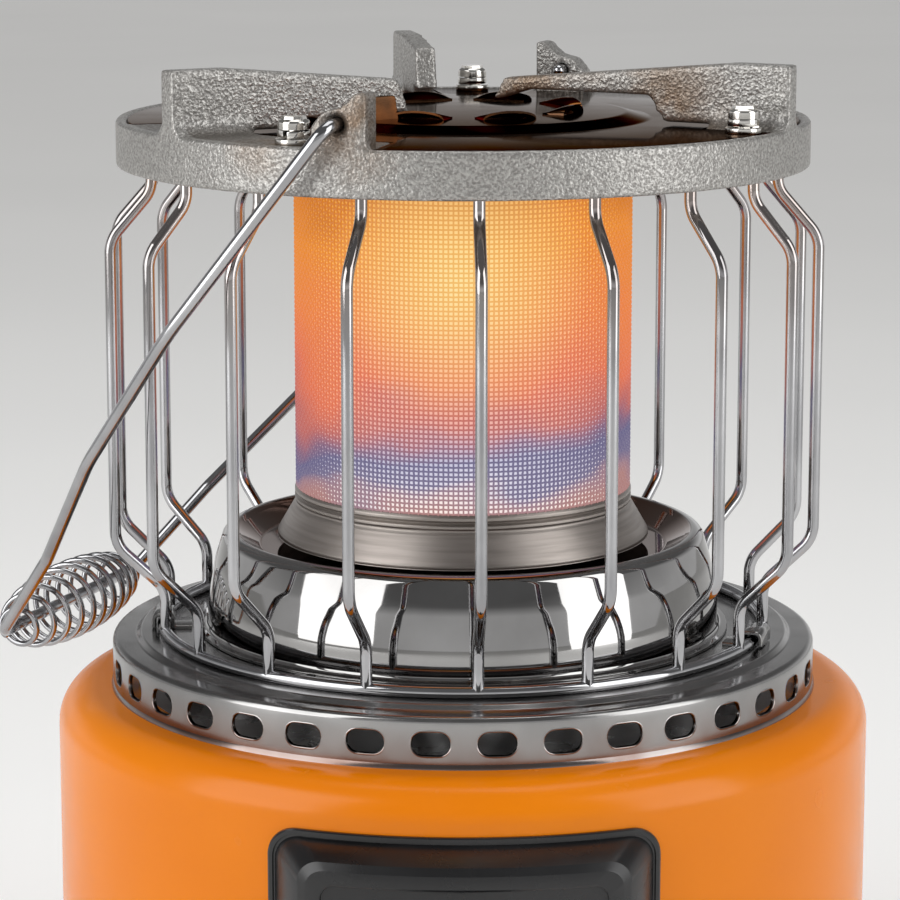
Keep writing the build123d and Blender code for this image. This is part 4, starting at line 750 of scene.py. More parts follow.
def pan_head(radius: float, height: float, depth: float = 0.9) -> Surface:
    """A domed screw head with a cross recess, standing on its own foot plane.

    Height = crown (0.45 + 0.55 (1 - 0.7 (r / R)^2) edge), where edge falls off as a quarter circle, less a
    recess where the point lies within the arms of a cross.

    Args:
        radius: Radius of the head.
        height: Height of the crown.
        depth: Depth of the recess.

    Returns:
        Closed surface in x, y and height.
    """
    sides, flat = 64, 0.92
    turn = steps_round(sides)[None, :]
    share = np.concatenate([np.linspace(0.0, flat, 22),
                            flat + (1.0 - flat) * np.sin(np.linspace(0.2, 1.0, 5) * math.pi / 2)])
    r = radius * share[:, None]
    x, y = r * np.cos(turn), r * np.sin(turn)
    edge = np.sqrt(np.clip(1.0 - np.clip((share - flat) / (1.0 - flat), 0.0, 1.0) ** 2, 0.0, 1.0))[:, None]
    top = height * (0.45 + 0.55 * (1.0 - 0.7 * (r / radius) ** 2) * edge)
    arm, reach = 0.16 * radius, 0.58 * radius
    bar_x = (1 - smooth_step(np.abs(y), arm, arm * 1.5)) * (1 - smooth_step(np.abs(x), reach, reach * 1.15))
    bar_y = (1 - smooth_step(np.abs(x), arm, arm * 1.5)) * (1 - smooth_step(np.abs(y), reach, reach * 1.15))
    top = top - depth * np.maximum(bar_x, bar_y)
    rows = np.stack([x, y, top], axis=-1)
    foot = np.stack([x[-1], y[-1], np.zeros(sides)], axis=-1)[None]
    middle = np.zeros((1, sides, 3))
    points = np.concatenate([rows, foot, middle])
    return Surface(points.reshape(-1, 3), grid_quads(len(points), sides, False, True))


@dataclass
class BodyDrum:
    """Orange drum with its rubber foot, base screws and gas inlet."""

    radius: float = 104.0
    wall: float = 1.2
    bottom: float = 6.0
    top: float = 134.0
    shoulder: float = 9.5
    mouth: float = 82.5
    window: tuple[float, float, float] = (64.0, 48.0, 80.0)
    foot_inner: float = 87.0
    foot_outer: float = 100.0
    screw_height: float = 12.2
    screw_head: tuple[float, float] = (3.2, 2.0)
    screw_bearings: tuple[float, ...] = (45.0, 135.0, 225.0, 315.0)
    inlet_height: float = 30.0
    inlet_bore: float = 3.2
    inlet_neck: float = 6.9
    inlet_back: float = 93.0
    inlet_end: float = 127.0
    hexagon: float = 10.0
    thread_radius: float = 7.94
    thread_pitch: float = 1.8
    thread_depth: float = 0.75
    thread: tuple[float, float] = (110.6, 123.6)

    def build(self) -> None:
        """Build the drum's own pieces."""
        self.shell()
        self.foot()
        self.screws()
        self.inlet()

    def shell(self) -> None:
        """Drum turned from a rounded profile, opened behind the controls and at the inlet."""
        inner = self.radius - self.wall
        profile = rounded(
            [(inner, self.bottom), (self.radius, self.bottom), (self.radius, self.top), (self.mouth, self.top),
             (self.mouth, self.top - self.wall), (inner, self.top - self.wall)],
            (0.3, 0.5, self.shoulder, 0.3, 0.3, self.shoulder - self.wall), 14, closed=True)
        width, height, level = self.window
        depth = 2.0 * self.shoulder
        window = prism(SQUARE * (width / 2, height / 2), (self.radius - depth, self.radius + depth))
        front = Surface(window.points[:, [0, 2, 1]] * (1, -1, 1) + (0, 0, level), window.quads, window.ends)
        turn = steps_round(48)
        hole = self.inlet_neck + 0.15
        bore = prism(hole * np.stack([np.cos(turn), np.sin(turn)], axis=1), (self.inlet_back, self.radius + 3.0))
        back = Surface(bore.points[:, [0, 2, 1]] + (0, 0, self.inlet_height), bore.quads, bore.ends)
        Shop.piece("enamel_drum", lathe(profile, 288), Body.BASE, ORANGE_ENAMEL, ["body_shell"], 30.0,
                   holes=join([front, back]))

    def foot(self) -> None:
        """Rubber foot ring with three grip grooves under it."""
        middle, step = (self.foot_inner + self.foot_outer) / 2, 1.2
        grooves = [(middle + k * 3.0 + s * step / 2, h) for k in (-1, 0, 1) for s, h in
                   ((-1, 0.0), (-0.6, 0.7), (0.6, 0.7), (1, 0.0))]
        loop = [(self.foot_inner, self.bottom), (self.foot_inner, 1.2), (self.foot_inner + 1.2, 0.0), *grooves,
                (self.foot_outer - 1.5, 0.0), (self.foot_outer, 1.5), (self.foot_outer, self.bottom)]
        profile = rounded(loop, 0.3, 3, closed=True)
        Shop.piece("foot_pad", lathe(profile, 192), Body.BASE, RUBBER, ["foot_ring"], 50.0)

    def screws(self) -> None:
        """Pan-head screws round the drum's foot."""
        head = pan_head(*self.screw_head)
        x, y, z = head.points.T
        local = Surface(np.stack([self.radius + z, x, self.screw_height + y], axis=1), head.quads)
        Shop.piece("base_screw_heads", carry(local, self.screw_bearings), Body.BASE, ZINC_STEEL)
        Shop.keep(ZINC_STEEL, "base_screws")

    def inlet(self) -> None:
        """Brass inlet: hexagon, threaded spigot and flared nose, with its bore open.

        The thread's radius is the pin's radius less a depth times |2 frac(y / pitch - turn) - 1|.
        """
        sides, (first, last) = 96, self.thread
        turn = steps_round(sides)[None, :]
        depth = np.linspace(first, last, 150)[:, None]
        ridge = np.abs(2.0 * np.mod(depth / self.thread_pitch - turn / TAU, 1.0) - 1.0)
        fade = smooth_step(depth, first, first + 1.4) * (1.0 - smooth_step(depth, last - 1.2, last))
        thread = self.thread_radius - self.thread_depth * ridge * fade
        sector = np.mod(turn, TAU / 6) - TAU / 12
        hexagon = self.hexagon * math.cos(TAU / 12) / np.cos(sector)
        nut = np.array([(104.0, 0.0), (104.5, 1.0), (109.5, 1.0), (110.0, 0.0)])
        chamfer = np.minimum(hexagon, self.hexagon - 0.6 + 0.6 * nut[:, 1:2])
        tail = np.array([(self.inlet_bore, self.inlet_back), (self.inlet_neck, self.inlet_back),
                         (self.inlet_neck, self.radius)])
        nose = np.array([(7.0, 124.0), (4.6, 126.7), (4.2, self.inlet_end), (self.inlet_bore, self.inlet_end)])
        ring = np.ones_like(turn)
        radius = np.concatenate([tail[:, :1] * ring, chamfer, 7.9 * ring, thread, nose[:, :1] * ring])
        along = np.concatenate([tail[:, 1:], nut[:, :1], [[110.0]], depth, nose[:, 1:]])
        points = np.stack(np.broadcast_arrays(radius * np.cos(turn), along, self.inlet_height + radius * np.sin(turn)),
                          axis=-1)
        surface = Surface(points.reshape(-1, 3), grid_quads(len(along), sides, True, True))
        Shop.piece("inlet_spigot", surface, Body.BASE, BRASS, ["gas_inlet"], 30.0)


@dataclass
class ControlPanel:
    """Black bezel on the drum's front with its dial well, and the fluted knob in it."""

    foot_half: float = 45.9
    front_half: float = 37.6
    half_height: float = 42.0
    slope: float = 6.0
    border: float = 4.5
    level: float = 80.0
    drum: float = 104.0
    ledge: float = 105.2
    front: float = 113.0
    well_radius: float = 23.0
    well_floor: float = 109.5
    hole: float = 7.0
    knob_back: float = 113.5
    knob_front: float = 130.5
    flange: float = 21.0
    grip: float = 16.5
    draft: float = 1.5
    bore: float = 3.2
    flutes: int = 8
    flute_depth: float = 1.6

    def build(self) -> None:
        """Build the bezel and the knob."""
        self.bezel()
        self.knob()

    def bezel(self) -> None:
        """Panel whose outline runs from a rounded rectangle on the drum to the round well.

        Each row is an outline in width and height, laid on a cylinder about the drum's axis by
        y = -sqrt(R^2 - x^2); rows of the well lie flat instead.
        """
        angle = steps_round(480)
        wide, high = self.front_half, self.half_height - self.slope
        seat, ledge, front, floor = self.drum + 0.1, self.ledge, self.front, self.well_floor
        rows: list[tuple[Array, float, bool]] = []

        def ring(half_width: float, half_height: float, corner: float, radius: float) -> None:
            """Add a rounded rectangle on a cylinder."""
            rows.append((rounded_reach(angle, half_width, half_height, corner), radius, False))

        for inset, corner, radius in ((2.0, 6.0, seat), (0.0, 7.0, seat), (0.0, 7.0, ledge - 0.3), (0.3, 6.8, ledge),
                                      (1.1, 6.2, ledge), (1.2, 6.2, ledge - 0.35), (1.7, 6.0, ledge - 0.35),
                                      (1.8, 6.0, ledge + 0.2)):
            ring(self.foot_half - inset, self.half_height - inset, corner, radius)
        ring(wide + 1.1, high + 1.0, 5.4, front - 0.8)
        for share in np.linspace(0.0, 1.0, 7):
            turn = share * math.pi / 2
            pull = 1.1 - 1.9 * math.sin(turn)
            ring(wide + pull, high + pull, 5.4 - share, front - 0.8 * (1.0 - math.sin(turn)))
        for inset, corner, sink in ((-0.6, 3.6, 0.0), (-0.2, 3.4, 0.2), (0.0, 3.2, 0.7), (0.4, 3.0, 0.8)):
            ring(wide - self.border - inset, high - self.border - inset, corner, front - sink)
        square = rows[-1][0]
        for share in (0.25, 0.5, 0.75):
            rows.append((square * (1 - share) + (self.well_radius + 0.4) * share, front - 0.8, False))
        for radius, depth, flat in ((self.well_radius + 0.4, front - 0.8, False),
                                    (self.well_radius, front - 1.1, False), (self.well_radius - 0.1, floor + 0.2, True),
                                    (self.well_radius - 0.5, floor, True), (self.hole + 6.0, floor, True),
                                    (self.hole, floor, True), (self.hole, floor - 3.0, True),
                                    (self.well_radius + 2.0, floor - 3.0, True)):
            rows.append((np.full_like(angle, radius), depth, flat))
        ring(self.foot_half - 16.0, self.half_height - 18.5, 4.0, seat)
        reach = np.stack([r for r, _, _ in rows])
        depths = np.array([d for _, d, _ in rows])[:, None]
        flats = np.array([f for _, _, f in rows])[:, None]
        x, z = reach * np.cos(angle), self.level + reach * np.sin(angle)
        y = np.where(flats, -depths, -np.sqrt(np.maximum(depths ** 2 - x ** 2, 1.0)))
        points = np.stack([x, np.broadcast_to(y, x.shape), z], axis=-1)
        surface = Surface(points.reshape(-1, 3), grid_quads(len(rows), len(angle), True, True))
        Shop.piece("panel_bezel", surface, Body.BASE, BLACK_MOULDING, ["control_bezel"], 24.0)

    def knob(self) -> None:
        """Knob with a flange and a fluted grip.

        Radius = profile less depth (1 - (a / w)^2)^2 within w of each flute's middle, faded in over the grip's wall.
        """
        sides, tall = 256, self.knob_front - self.knob_back
        turn = steps_round(sides)[None, :]
        profile = rounded([(self.bore, 0.0), (self.flange, 0.0), (self.flange, 2.5), (self.grip + self.draft, 3.1),
                           (self.grip, tall), (0.0, tall + 0.4)], (0.3, 0.8, 0.9, 1.2, 1.8, 0.0), 6)
        profile = np.concatenate([[(self.bore, 8.0), (self.bore, 4.0)], profile])
        radius, height = profile[:, :1], profile[:, 1:2]
        height = np.minimum(height, tall)
        sector = TAU / self.flutes
        offset = np.abs(np.mod(turn, sector) - sector / 2) / (0.34 * sector)
        dent = self.flute_depth * np.clip(1.0 - offset ** 2, 0.0, 1.0) ** 2
        wall = smooth_step(height, 3.2, 5.2) * (radius > 0.75 * self.grip)
        shaped = radius - dent * wall
        points = np.stack(np.broadcast_arrays(shaped * np.cos(turn), -self.knob_back - height,
                                              self.level + shaped * np.sin(turn)), axis=-1)
        hub = np.broadcast_to((0.0, -self.knob_back - 8.0, self.level), (1, sides, 3))
        points = np.concatenate([hub, points])
        surface = Surface(points.reshape(-1, 3), grid_quads(len(points), sides, False, True))
        Shop.piece("fluted_knob", surface, Body.KNOB, BLACK_MOULDING, ["control_knob"], 30.0)
        self.pointer()

    def pointer(self) -> None:
        """Pale bar on the knob's front: a rounded box whose section is a superellipse."""
        sides, rows = 48, 13
        a, b = np.linspace(0.0, TAU, sides, endpoint=False)[None, :], np.linspace(-1.0, 1.0, rows)[:, None]
        swell = np.sqrt(1.0 - np.abs(b) ** 6)
        x = 0.8 * swell * np.sign(np.cos(a)) * np.abs(np.cos(a)) ** 0.4
        y = 0.3 * swell * np.sign(np.sin(a)) * np.abs(np.sin(a)) ** 0.4
        bar = np.stack(np.broadcast_arrays(x, -self.knob_front + 0.33 + y, self.level + 10.0 + 5.6 * b), axis=-1)
        pointer = Surface(bar.reshape(-1, 3), grid_quads(rows, sides, False, True))
        Shop.piece("knob_pointer", pointer, Body.KNOB, POINTER_WHITE)


@dataclass
class VentRing:
    """Chrome cap over the drum: a band of rounded air slots, a ledge and a plateau."""

    radius: float = 90.0
    bottom: float = 134.0
    ledge_top: float = 146.6
    ledge: float = 84.0
    plateau: float = 147.9
    mouth: float = 62.0
    wall: float = 1.0
    edge: float = 1.6
    slots: int = 36
    slot_length: float = 9.2
    slot_height: float = 5.6
    slot_corner: float = 2.7
    slot_level: float = 140.1
    band_half: float = 3.8

    def build(self) -> None:
        """Build the band and the cap as one piece."""
        Shop.piece("vent_cap", join([self.band(), self.cap()]), Body.BASE, BAND_PLATE, ["vent_ring"], 32.0)

    def cell_outline(self) -> tuple[Array, Array, Array]:
        """Directions round a slot, and the reach of the slot and of its cell in each."""
        half = math.radians(180.0 / self.slots) * self.radius
        corner = math.atan2(self.band_half, half)
        corners = np.array([corner, math.pi - corner, math.pi + corner, TAU - corner])
        angle = np.sort(np.concatenate([(np.arange(72) + 0.5) * TAU / 72, corners]))
        slot = rounded_reach(angle, self.slot_length / 2, self.slot_height / 2, self.slot_corner)
        cell = np.minimum(half / np.maximum(np.abs(np.cos(angle)), 1e-9),
                          self.band_half / np.maximum(np.abs(np.sin(angle)), 1e-9))
        return angle, slot, cell

    def band(self) -> Surface:
        """Wall with slots: in each cell, rows run from the slot's edge out to the cell's border.

        A point at reach r in direction a lies at bearing r cos(a) / radius and height level + r sin(a).
        """
        angle, slot, cell = self.cell_outline()
        steps = ((slot, -self.wall), (slot, -0.30), (slot + 0.10, -0.05), (slot + 0.28, 0.05), (slot + 0.45, 0.0),
                 (slot + 0.6, 0.0), ((slot + cell) / 2, 0.0), (cell, 0.0), (cell, -self.wall),
                 ((slot + cell) / 2, -self.wall))
        reach = np.stack([np.minimum(r, cell) for r, _ in steps])
        radius = self.radius + np.array([d for _, d in steps])[:, None]
        bearing = np.degrees(reach * np.cos(angle) / self.radius)
        height = self.slot_level + reach * np.sin(angle)
        points = place(radius[None], 0.0, height[None], bearing[None] + bearings_round(self.slots, 0.5)[:, None, None])
        quads = grid_quads(len(steps), len(angle), True, True)
        kept = quads[(quads // len(angle)).min(axis=1) != len(steps) - 3]
        return Surface(points.reshape(-1, 3), repeat_quads(kept, self.slots, len(steps) * len(angle)))

    def cap(self) -> Surface:
        """Rest of the ring, turned on the same bearings as the cells' borders."""
        angle, _, cell = self.cell_outline()
        upper = np.sin(angle) > 0.0
        level = np.isclose(cell[upper] * np.sin(angle[upper]), self.band_half)
        local = np.degrees((cell[upper] * np.cos(angle[upper]))[level] / self.radius)
        bearings = bearings_round(self.slots, 0.5)[:, None] + local[None, :]
        bearings = np.unique(np.round(np.mod(bearings, 360.0), 6))
        bearings = bearings[bearings < 360.0 - 1e-4]
        band_top, band_bottom = self.slot_level + self.band_half, self.slot_level - self.band_half
        outside = rounded([(self.radius, band_top), (self.radius, self.ledge_top), (self.ledge, self.ledge_top),
                           (self.ledge - 1.3, self.plateau), (self.mouth, self.plateau)],
                          (0.0, self.edge, 0.9, 0.9, 0.0), 7)
        inside = rounded([(self.mouth, self.plateau - self.wall), (self.ledge - 1.7, self.plateau - self.wall),
                          (self.ledge - 0.4, self.ledge_top - self.wall),
                          (self.radius - self.wall, self.ledge_top - self.wall),
                          (self.radius - self.wall, band_top)], (0.0, 0.5, 0.5, self.edge - 0.8, 0.0), 4)
        top = lathe(np.concatenate([outside, inside]), closed=False, angles=bearings)
        lower = [(self.radius - self.wall, band_bottom), (self.radius - self.wall, self.bottom),
                 (self.radius + 0.5, self.bottom), (self.radius + 0.35, self.bottom + 0.7),
                 (self.radius, self.bottom + 1.2), (self.radius, band_bottom)]
        return join([top, lathe(np.array(lower), closed=False, angles=bearings)])


@dataclass
class Burner:
    """Mirror reflector, burner cup and the glowing woven gauze, with its two probes."""

    plateau: float = 147.9
    lip_top: float = 173.5
    flange: float = 68.0
    foot: float = 64.5
    lip: float = 60.0
    dish: float = 50.0
    dish_floor: float = 168.5
    skirt: float = 47.5
    skirt_bottom: float = 172.0
    collar: float = 42.5
    collar_bottom: float = 180.4
    mesh_bottom: float = 184.4
    mesh_top: float = 266.0
    mesh_radius: float = 42.3
    wefts: int = 70
    warps: int = 216
    wire: float = 0.29
    core_gap: float = 1.5
    probe_wire: float = 1.0
    probe_line: tuple[tuple[float, float], ...] = ((51.0, 160.2), (51.0, 187.0), (45.9, 193.5), (45.5, 198.9))
    sensor_bearing: float = 189.0
    spark_bearing: float = 171.0

    def build(self) -> None:
        """Build the burner's pieces from the outside in."""
        self.reflector()
        self.cup()
        self.gauze()
        self.probes()

    def reflector(self) -> None:
        """Bulged cone with a rolled lip over a dished floor."""
        outside = rounded([(self.flange, self.plateau + 0.1), (self.flange, self.plateau + 0.9),
                           (self.foot + 1.0, self.plateau + 0.9), (self.foot + 0.8, self.plateau + 8.0),
                           (self.lip + 3.6, self.lip_top - 8.0), (self.lip + 1.2, self.lip_top),
                           (self.lip - 1.6, self.lip_top), (self.lip - 3.0, self.lip_top - 1.0),
                           (self.dish + 2.0, self.dish_floor + 0.8), (12.0, self.dish_floor + 0.8),
                           (12.0, self.dish_floor), (self.dish + 1.6, self.dish_floor),
                           (self.lip - 3.6, self.lip_top - 1.8), (self.lip + 0.4, self.lip_top - 1.0),
                           (self.lip + 2.8, self.lip_top - 8.4), (self.foot, self.plateau + 8.0),
                           (self.foot + 0.2, self.plateau + 0.1)],
                          (0.2, 0.2, 1.2, 24.0, 20.0, 3.0, 0.6, 1.2, 1.5, 0.2, 0.2, 1.0, 0.8, 1.6, 16.0, 20.0, 0.2),
                          8, closed=True)
        Shop.piece("mirror_cone", lathe(outside, 288), Body.BASE, MIRROR_SHEET, ["reflector"], 40.0)

    def cup(self) -> None:
        """Brushed cup: a flared skirt, a beaded collar and the seat under the gauze."""
        r, z = self.collar, self.collar_bottom
        outside = rounded([(self.skirt - 0.8, self.skirt_bottom), (self.skirt, self.skirt_bottom),
                           (self.skirt - 0.1, self.skirt_bottom + 0.9), (r + 0.9, z - 0.6), (r + 0.2, z + 0.3),
                           (r + 0.5, z + 1.0), (r + 0.5, z + 1.6), (r + 0.1, z + 2.0), (r + 0.1, z + 2.5),
                           (r + 0.5, z + 2.9), (r + 0.5, z + 3.7), (r, z + 4.4), (r - 2.2, z + 4.4),
                           (r - 2.2, z + 1.0), (r - 0.7, z - 0.8)],
                          (0.2, 0.4, 0.8, 2.5, 0.8, 0.35, 0.35, 0.25, 0.25, 0.35, 0.45, 0.3, 0.2, 0.5, 1.5), 5,
                          closed=True)
        Shop.piece("flared_cup", lathe(outside, 256), Body.BASE, BRUSHED_SHEET)
        Shop.keep(BRUSHED_SHEET, "burner_cup", "flame_liner")
        Shop.keep(WIRE_GLOW, "burner_cap")

    def gauze(self) -> None:
        """Plain weave of round wires over a glowing core.

        Hoop i has radius R + s cos(warps / 2 turn) with sign s by even or odd i, and upright j has radius
        R - s cos(height over pitch) with sign by even or odd j, so that they pass over and under.
        """
        wave, sides = self.wire * 0.95, 4
        corner = (np.arange(sides) + 0.5) * TAU / sides
        turn = steps_round(self.warps)
        sign = plus_minus(self.wefts)[:, None, None]
        level = self.mesh_bottom + (np.arange(self.wefts) + 0.5) * (self.mesh_top - self.mesh_bottom) / self.wefts
        radius = self.mesh_radius + sign * wave * np.cos(turn * self.warps / 2)[None, :, None]
        radius = radius + self.wire * np.cos(corner)
        height = level[:, None, None] + self.wire * np.sin(corner)
        hoops = place(radius, 0.0, height, np.degrees(turn)[None, :, None])
        quads = repeat_quads(grid_quads(self.warps, sides, True, True), self.wefts, self.warps * sides)
        Shop.piece("gauze_hoops", Surface(hoops.reshape(-1, 3), quads), Body.BASE, WIRE_GLOW, ["burner_mesh"], 80.0)
        count = self.wefts + 2
        level = np.concatenate([[self.mesh_bottom], level, [self.mesh_top]])
        sign = plus_minus(self.warps)[:, None, None]
        swing = -plus_minus(count) * (np.arange(count) % (count - 1) > 0)
        radius = self.mesh_radius - sign * wave * swing[None, :, None] + self.wire * np.cos(corner)
        side = np.broadcast_to(self.wire * np.sin(corner), radius.shape)
        uprights = place(radius, side, level[None, :, None], bearings_round(self.warps)[:, None, None])
        quads = repeat_quads(grid_quads(count, sides, False, True), self.warps, count * sides)
        caps = tuple(tuple(int(n) for n in (j * count + row) * sides + order) for j in range(self.warps)
                     for row, order in ((0, np.arange(sides)[::-1]), (count - 1, np.arange(sides))))
        Shop.piece("gauze_uprights", Surface(uprights.reshape(-1, 3), quads, caps), Body.BASE, WIRE_GLOW, (), 80.0)
        inner = self.mesh_radius - self.core_gap
        core = rounded([(inner - 0.6, self.mesh_bottom), (inner, self.mesh_bottom), (inner, self.mesh_top),
                        (inner - 0.6, self.mesh_top)], 0.1, 2, closed=True)
        Shop.piece("glow_core", lathe(core, 192), Body.BASE, CORE_GLOW)

    def probes(self) -> None:
        """Spark electrode in its ceramic sleeve, and flame sensor, standing behind the gauze."""
        line = rounded([(radius, 0.0, height) for radius, height in self.probe_line], 5.0, 8)
        wire = tube(line, self.probe_wire, 14, np.array([0.0, 1.0, 0.0]))
        Shop.piece("flame_sensor_rod", carry(wire, (self.sensor_bearing,)), Body.BASE, ZINC_STEEL)
        Shop.piece("spark_rod", carry(wire, (self.spark_bearing,)), Body.BASE, ZINC_STEEL, ["spark_electrode"])
        profile = rounded([(0.95, 160.5), (2.2, 160.5), (2.2, 169.2), (2.6, 169.6), (2.6, 170.8), (2.2, 171.2),
                           (1.6, 174.5), (0.95, 174.5)], 0.25, 3, closed=True)
        sleeve = carry(upright_ring(profile, self.probe_line[0][0], 32), (self.spark_bearing,))
        Shop.piece("ceramic_sleeve", sleeve, Body.BASE, CERAMIC, ["electrode_insulator"])
        Shop.keep(ZINC_STEEL, "thermocouple")


@dataclass
class WireGuard:
    """Guard of bent bars on a wire ring, held down by folded clips."""

    ring: float = 77.0
    ring_level: float = 149.25
    ring_wire: float = 1.5
    bar_wire: float = 1.45
    bars: int = 18
    first: float = 2.5
    belly: float = 89.5
    top: float = 79.0
    cast_bottom: float = 267.0
    low_bends: tuple[float, float] = (10.8, 22.8)
    high_bends: tuple[float, float] = (17.5, 5.5)
    tuck: float = 4.5
    clip_bearings: tuple[float, ...] = (-87.5, 72.5, 172.5)
    clip_width: float = 10.0
    clip_wall: float = 1.0
    clip_tail: float = 5.0

    def build(self) -> None:
        """Build the ring, the bars and the clips."""
        loop = place(self.ring, 0.0, self.ring_level, bearings_round(240))
        hoop = tube(loop, self.ring_wire, 16, np.array([0.0, 0.0, 1.0]), closed=True)
        Shop.piece("guard_hoop", hoop, Body.BASE, BRIGHT_WIRE, ["guard_lower_ring"], 80.0)
        foot, head = self.ring_level + 0.4, self.cast_bottom
        (low_in, low_out), (high_out, high_in) = self.low_bends, self.high_bends
        line = rounded([(self.ring, 0.0, foot), (self.ring, 0.0, foot + low_in), (self.belly, 0.0, foot + low_out),
                        (self.belly, 0.0, head - high_out), (self.top, 0.0, head - high_in),
                        (self.top, 0.0, head + self.tuck)], (0.0, 7.5, 8.5, 8.5, 7.5, 0.0), 10)
        bar = tube(line, self.bar_wire, 16, np.array([0.0, 1.0, 0.0]))
        bearings = self.first + bearings_round(self.bars)
        Shop.piece("guard_rods", carry(bar, bearings), Body.BASE, BRIGHT_WIRE, ["guard_bars"], 80.0)
        self.clips()

    def clips(self) -> None:
        """Strips folded over the ring: a middle line thickened to both sides and cut to a width."""
        reach, low = self.ring_wire + 0.85, self.ring_level - self.ring_wire + 0.55
        line = rounded([(self.ring - reach - self.clip_tail, low), (self.ring - reach, low),
                        (self.ring - reach, self.ring_level + reach), (self.ring + reach, self.ring_level + reach),
                        (self.ring + reach, low)], (0.0, 1.0, 1.3, 1.3, 0.0), 6)
        along = unit(np.gradient(line, axis=0))
        normal = np.stack([-along[:, 1], along[:, 0]], axis=1) * self.clip_wall / 2
        loop = np.concatenate([line + normal, (line - normal)[::-1]])[::-1]
        half = self.clip_width / 2
        strip = prism(loop, (-half, -half + 0.25, half - 0.25, half), (0.2, 0.0, 0.0, 0.2))
        local = Surface(strip.points[:, [0, 2, 1]], strip.quads, strip.ends)
        Shop.piece("folded_clips", carry(local, self.clip_bearings), Body.BASE, BAND_PLATE, ["ring_clips"], 40.0)


